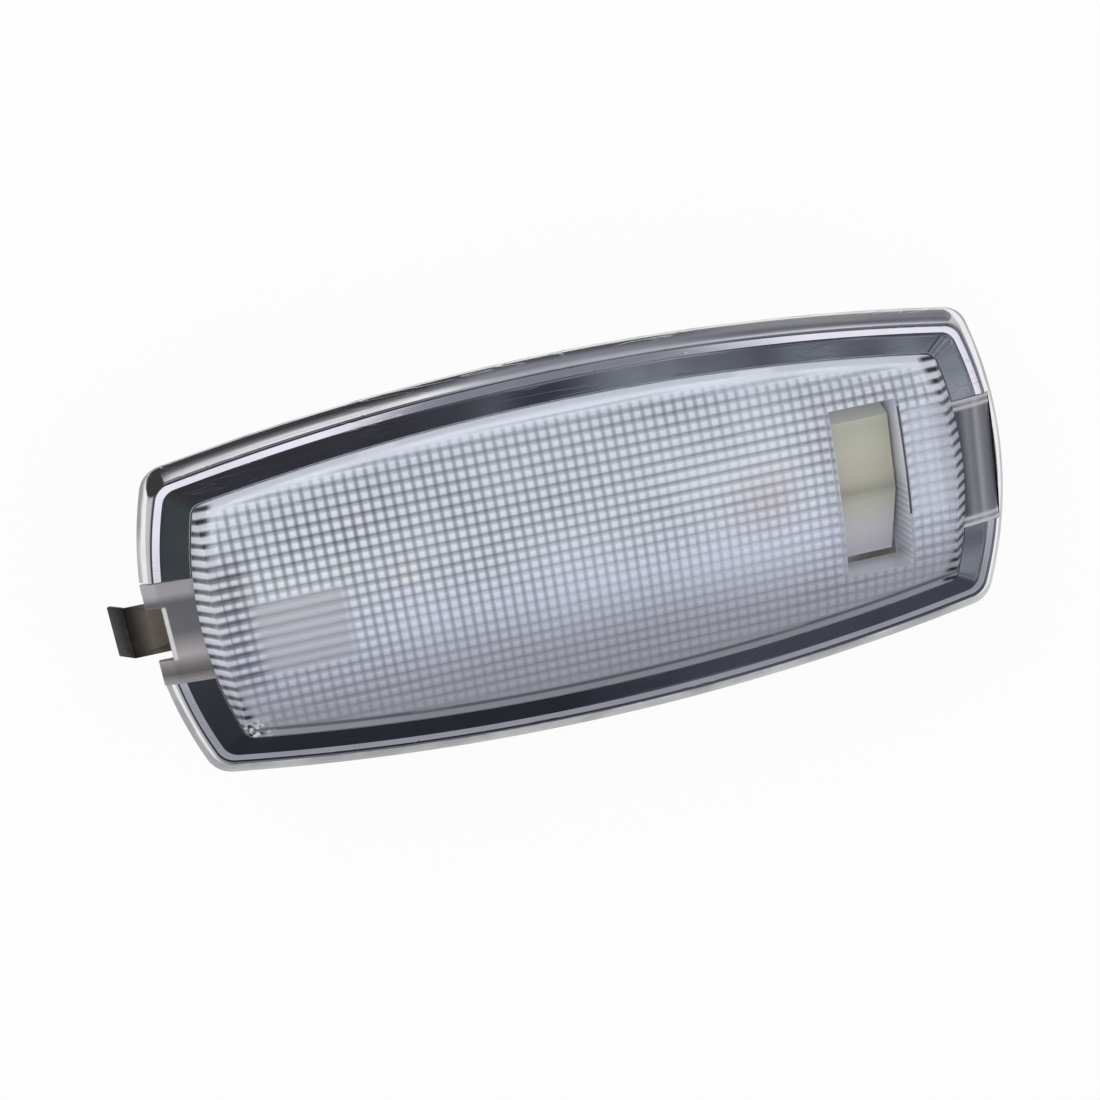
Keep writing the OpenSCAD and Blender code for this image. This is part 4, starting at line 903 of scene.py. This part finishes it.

# %% [markdown]
# Round the grid there are edges drawn in painted shade: dark teeth where the rows end, dark streaks
# behind the near lug, a fine dark line along the near side and a painted shadow line beside the window.
# The walls of the window's shaft and the two lugs get painted light and shade, and a corner gets painted
# glints. Nearly half of the light goes on into the lamp, so what lies behind the lens shows through.

# %% Lens edges and lugs
# Painted shade: dark teeth where the rows end
teeth = product(tree, groove_mask(tree, over, ROW_PITCH, ROW_N, 0.3), outside,
                ramp(tree, end_gap, [(0.02, 1.0), (0.17, 1.0), (0.25, 0.0)]))
lens_color = blend(tree, teeth, lens_color, (0.015, 0.015, 0.02))
on_near_end = math_node(tree, "LESS_THAN", along, 0.0)
aside = math_node(tree, "ABSOLUTE", over)
# Painted shade: dark streaks along the rows behind the near lug
streak_shade = product(tree, groove_mask(tree, over, ROW_PITCH, ROW_N, 0.4), outside, on_near_end,
                      ramp(tree, end_gap, [(0.1, 0.0), (0.3, 1.0), (0.5, 1.0), (0.75, 0.0)]),
                      step(tree, aside, 9.5 * MM, 6.5 * MM))
lens_color = blend(tree, product(tree, streak_shade, 0.75), lens_color, (0.05, 0.055, 0.075))
# Painted shade: a fine dark line along the near side, and a shadow line beside the window
edge_shade_line = product(tree, ramp(tree, side_gap, [(0.08, 0.0), (0.1, 1.0), (0.13, 1.0), (0.15, 0.0)]),
                    math_node(tree, "LESS_THAN", over, 0.0))
lens_color = blend(tree, product(tree, edge_shade_line, 0.8), lens_color, (0.12, 0.12, 0.15))
lens_color = blend(tree, box_mask(tree, WINDOW_SHADOW_LINE), lens_color, (0.05, 0.055, 0.07))
# Painted shade on the walls of the window's shaft: dim deep down, with painted dark lines like ridges on the
# near half
shaft_shade = blend(tree, step(tree, axes["Z"], 17.5 * MM, 22.5 * MM), (0.5, 0.5, 0.56), (0.85, 0.86, 0.93))
painted_ridge_lines = product(tree, groove_mask(tree, over, 0.9 * MM, ROW_N, 0.5), step(tree, over, MM, -MM))
shaft_shade = blend(tree, product(tree, painted_ridge_lines, 0.4), shaft_shade, (0.2, 0.2, 0.24))
lens_color = blend(tree, product(tree, box_mask(tree, SHAFT), upright), lens_color, shaft_shade)
# Painted light and shade on the lugs: the near lug is darkest on its far half and paler towards the near
# side; the far lug has soft painted bands of highlight and painted highlights along its rims
near_lug_shading = ramp(tree, step(tree, over, NEAR_LUG_HALF, -NEAR_LUG_HALF),
                 [(0.0, (0.45, 0.45, 0.48)), (0.12, (0.42, 0.41, 0.44)), (0.2, (0.16, 0.16, 0.17)),
                  (0.5, (0.18, 0.18, 0.195)), (0.62, (0.36, 0.34, 0.355)), (0.72, (0.5, 0.47, 0.49)),
                  (0.82, (0.26, 0.245, 0.255)), (0.9, (0.14, 0.135, 0.14)), (1.0, (0.4, 0.375, 0.39))], True)
far_lug_shading = ramp(tree, step(tree, along, 49.4 * MM, 54.4 * MM),
                [(0.0, (0.1, 0.1, 0.12)), (0.2, (0.29, 0.29, 0.33)), (0.38, (0.22, 0.22, 0.255)),
                 (0.5, (0.42, 0.43, 0.47)), (0.62, (0.28, 0.28, 0.325)), (0.8, (0.2, 0.2, 0.23)),
                 (0.96, (0.1, 0.1, 0.11))], True)
rim_highlights = ramp(tree, step(tree, aside, 6.8 * MM, FAR_LUG_HALF),
            [(0.1, 0.0), (0.35, 1.0), (0.6, 0.1), (0.85, 0.9)])
far_lug_shading = blend(tree, rim_highlights, far_lug_shading, (0.75, 0.75, 0.8))
lug_color = blend(tree, on_near_end, far_lug_shading, near_lug_shading)
# A painted highlight: a pale line on the cut edge of the near lug's mouth, over the clip
lug_color = blend(tree, box_mask(tree, MOUTH_EDGE_HIGHLIGHT), lug_color, (0.8, 0.77, 0.79))
lens_color = blend(tree, fade(tree, end_gap, 0.01, 0.0), lens_color, lug_color)
# Painted glints: small white specks at the near corner
specks = noise(tree, spot.outputs["Object"], 1600.0, 1.0)
glints = product(tree, fade(tree, specks, 0.5, 0.56), box_mask(tree, NEAR_CORNER), outside)
lens_color = blend(tree, glints, lens_color, (1.0, 1.0, 1.0))
film = use_group(tree, dust, Amount=0.1)
plug(tree, shader, "Base Color", blend(tree, film.outputs[0], lens_color, (0.6, 0.6, 0.6)))
shader.inputs["Roughness"].default_value = 0.06
shader.inputs["IOR"].default_value = 1.49
shader.inputs["Transmission Weight"].default_value = 0.45
finish(ribbed_lens, clear_plastic, "lens_plastic", "lens")

# %% [markdown]
# ## Rocker and spring clip
# A moulded rocker has softly rounded edges, and the clip is bent from strip whose edges and folds are
# never sharp. Their solids have the right shape, so each gets a copy whose loose triangles are merged and
# whose edges a Bevel modifier rounds. The rocker is ivory, with painted shade: a dark band at its middle,
# and the half that lies deep in the shaft painted greyer, ending in a pale painted highlight. The clip is
# blued steel, nearly black on its bent lead-in and browner on its flat.

# %% Rounded copies
def rounded_copy(name, node, width):
    """A merged copy of a solid part with every edge sharper than 30 degrees rounded to the width."""
    piece = bpy.data.objects.new(name, nodes[node].data.copy())
    bpy.context.scene.collection.objects.link(piece)
    tidy_mesh(piece)
    rounding = piece.modifiers.new("rounding", "BEVEL")
    rounding.width = width
    rounding.segments = 3
    rounding.limit_method = "ANGLE"
    rounding.angle_limit = math.radians(30)
    return tidy_mesh(apply_modifiers(piece), 35)


ROCKER_HALF = 11 * MM
CLIP_END, CLIP_ROOT = -61 * MM, -51 * MM
soft_rocker = rounded_copy("soft_rocker", "rocker", 0.3 * MM)
ivory, tree, shader = new_material("ivory_rocker")
skin = use_group(tree, grain, Depth=0.05)
film = use_group(tree, dust, Amount=0.12)
# Painted shade along the rocker: ivory above, a dark band at the middle, greyer below and a pale painted
# highlight at the low end
down = step(tree, object_axes(tree)["Y"], ROCKER_HALF, -ROCKER_HALF)
tone = ramp(tree, down, [(0.04, (0.5, 0.5, 0.5)), (0.14, (0.37, 0.385, 0.31)), (0.3, (0.44, 0.42, 0.345)),
                         (0.46, (0.4, 0.385, 0.31)), (0.53, (0.25, 0.245, 0.2)), (0.6, (0.42, 0.42, 0.36)),
                         (0.78, (0.55, 0.545, 0.575)), (0.94, (0.6, 0.59, 0.66)),
                         (1.0, (0.85, 0.84, 0.92))], True)
tone = blend(tree, product(tree, skin.outputs["Shade"], 0.3), tone, (0.45, 0.46, 0.4))
plug(tree, shader, "Base Color", blend(tree, film.outputs[0], tone, (0.55, 0.54, 0.5)))
plug(tree, shader, "Roughness", math_node(tree, "ADD", product(tree, film.outputs[0], 0.5), 0.35))
plug(tree, shader, "Normal", skin.outputs["Normal"])
finish(soft_rocker, ivory, "rocker_plastic", "rocker", body="rocker")

clip_strip = rounded_copy("clip_strip", "spring_clip", 0.18 * MM)
clip_steel, tree, shader = new_material("clip_steel")
lines = use_group(tree, scratches, Roughness=0.32, Spread=0.2, Depth=0.1)
out = step(tree, object_axes(tree)["X"], CLIP_END, CLIP_ROOT)
tone = ramp(tree, out, [(0.0, (0.02, 0.02, 0.02)), (0.22, (0.012, 0.012, 0.012)),
                        (0.34, (0.07, 0.064, 0.057)), (0.52, (0.26, 0.228, 0.185)),
                        (0.68, (0.2, 0.18, 0.145)), (1.0, (0.03, 0.03, 0.03))], True)
rust = noise(tree, add(tree, "ShaderNodeTexCoord").outputs["Object"], 500.0, 3.0)
tone = blend(tree, ramp(tree, rust, [(0.55, 0.0), (0.7, 0.2)]), tone, (0.2, 0.12, 0.09))
plug(tree, shader, "Base Color", tone)
plug(tree, shader, "Roughness", lines.outputs["Roughness"])
plug(tree, shader, "Normal", lines.outputs["Normal"])
shader.inputs["Metallic"].default_value = 0.9
finish(clip_strip, clip_steel, "spring_steel", "spring_clip")

# %% [markdown]
# ## Finishes of the solid parts
# Parts whose solid shape is already right keep it and only get a finish.

# %% Give the finishes
def give(material, *names):
    """Puts one material on each named solid part."""
    for name in names:
        data = nodes[name].data
        data.materials.clear()
        data.materials.append(material)


def clear(name, color, rough, ior):
    """Clear glass with a slight film of dust on it."""
    material, tree, shader = new_material(name)
    film = use_group(tree, dust, Amount=0.2)
    plug(tree, shader, "Base Color", blend(tree, film.outputs[0], color, (0.8, 0.8, 0.78)))
    plug(tree, shader, "Roughness", math_node(tree, "ADD", product(tree, film.outputs[0], 0.3), rough))
    shader.inputs["IOR"].default_value = ior
    shader.inputs["Transmission Weight"].default_value = 1.0
    return material


give(white, "housing")
give(bright_sheet, "reflector")
give(blued, "detent_spring")
give(steel, "clip_rivet", "rocker_pin", "detent_ball")
give(tungsten, "filament")
give(nickel, "bulb_cap_left", "bulb_cap_right", "bulb_contact_left", "bulb_contact_right")
give(clear("bulb_glass", (1.0, 1.0, 1.0), 0.02, 1.5), "bulb_glass")
give(brass, "supply_rivet", "link_rivet", "rocker_contact", "earth_contact", "door_contact", "earth_rivet",
     "door_rivet", "supply_terminal", "earth_terminal", "door_terminal")
give(black, "switch_frame")
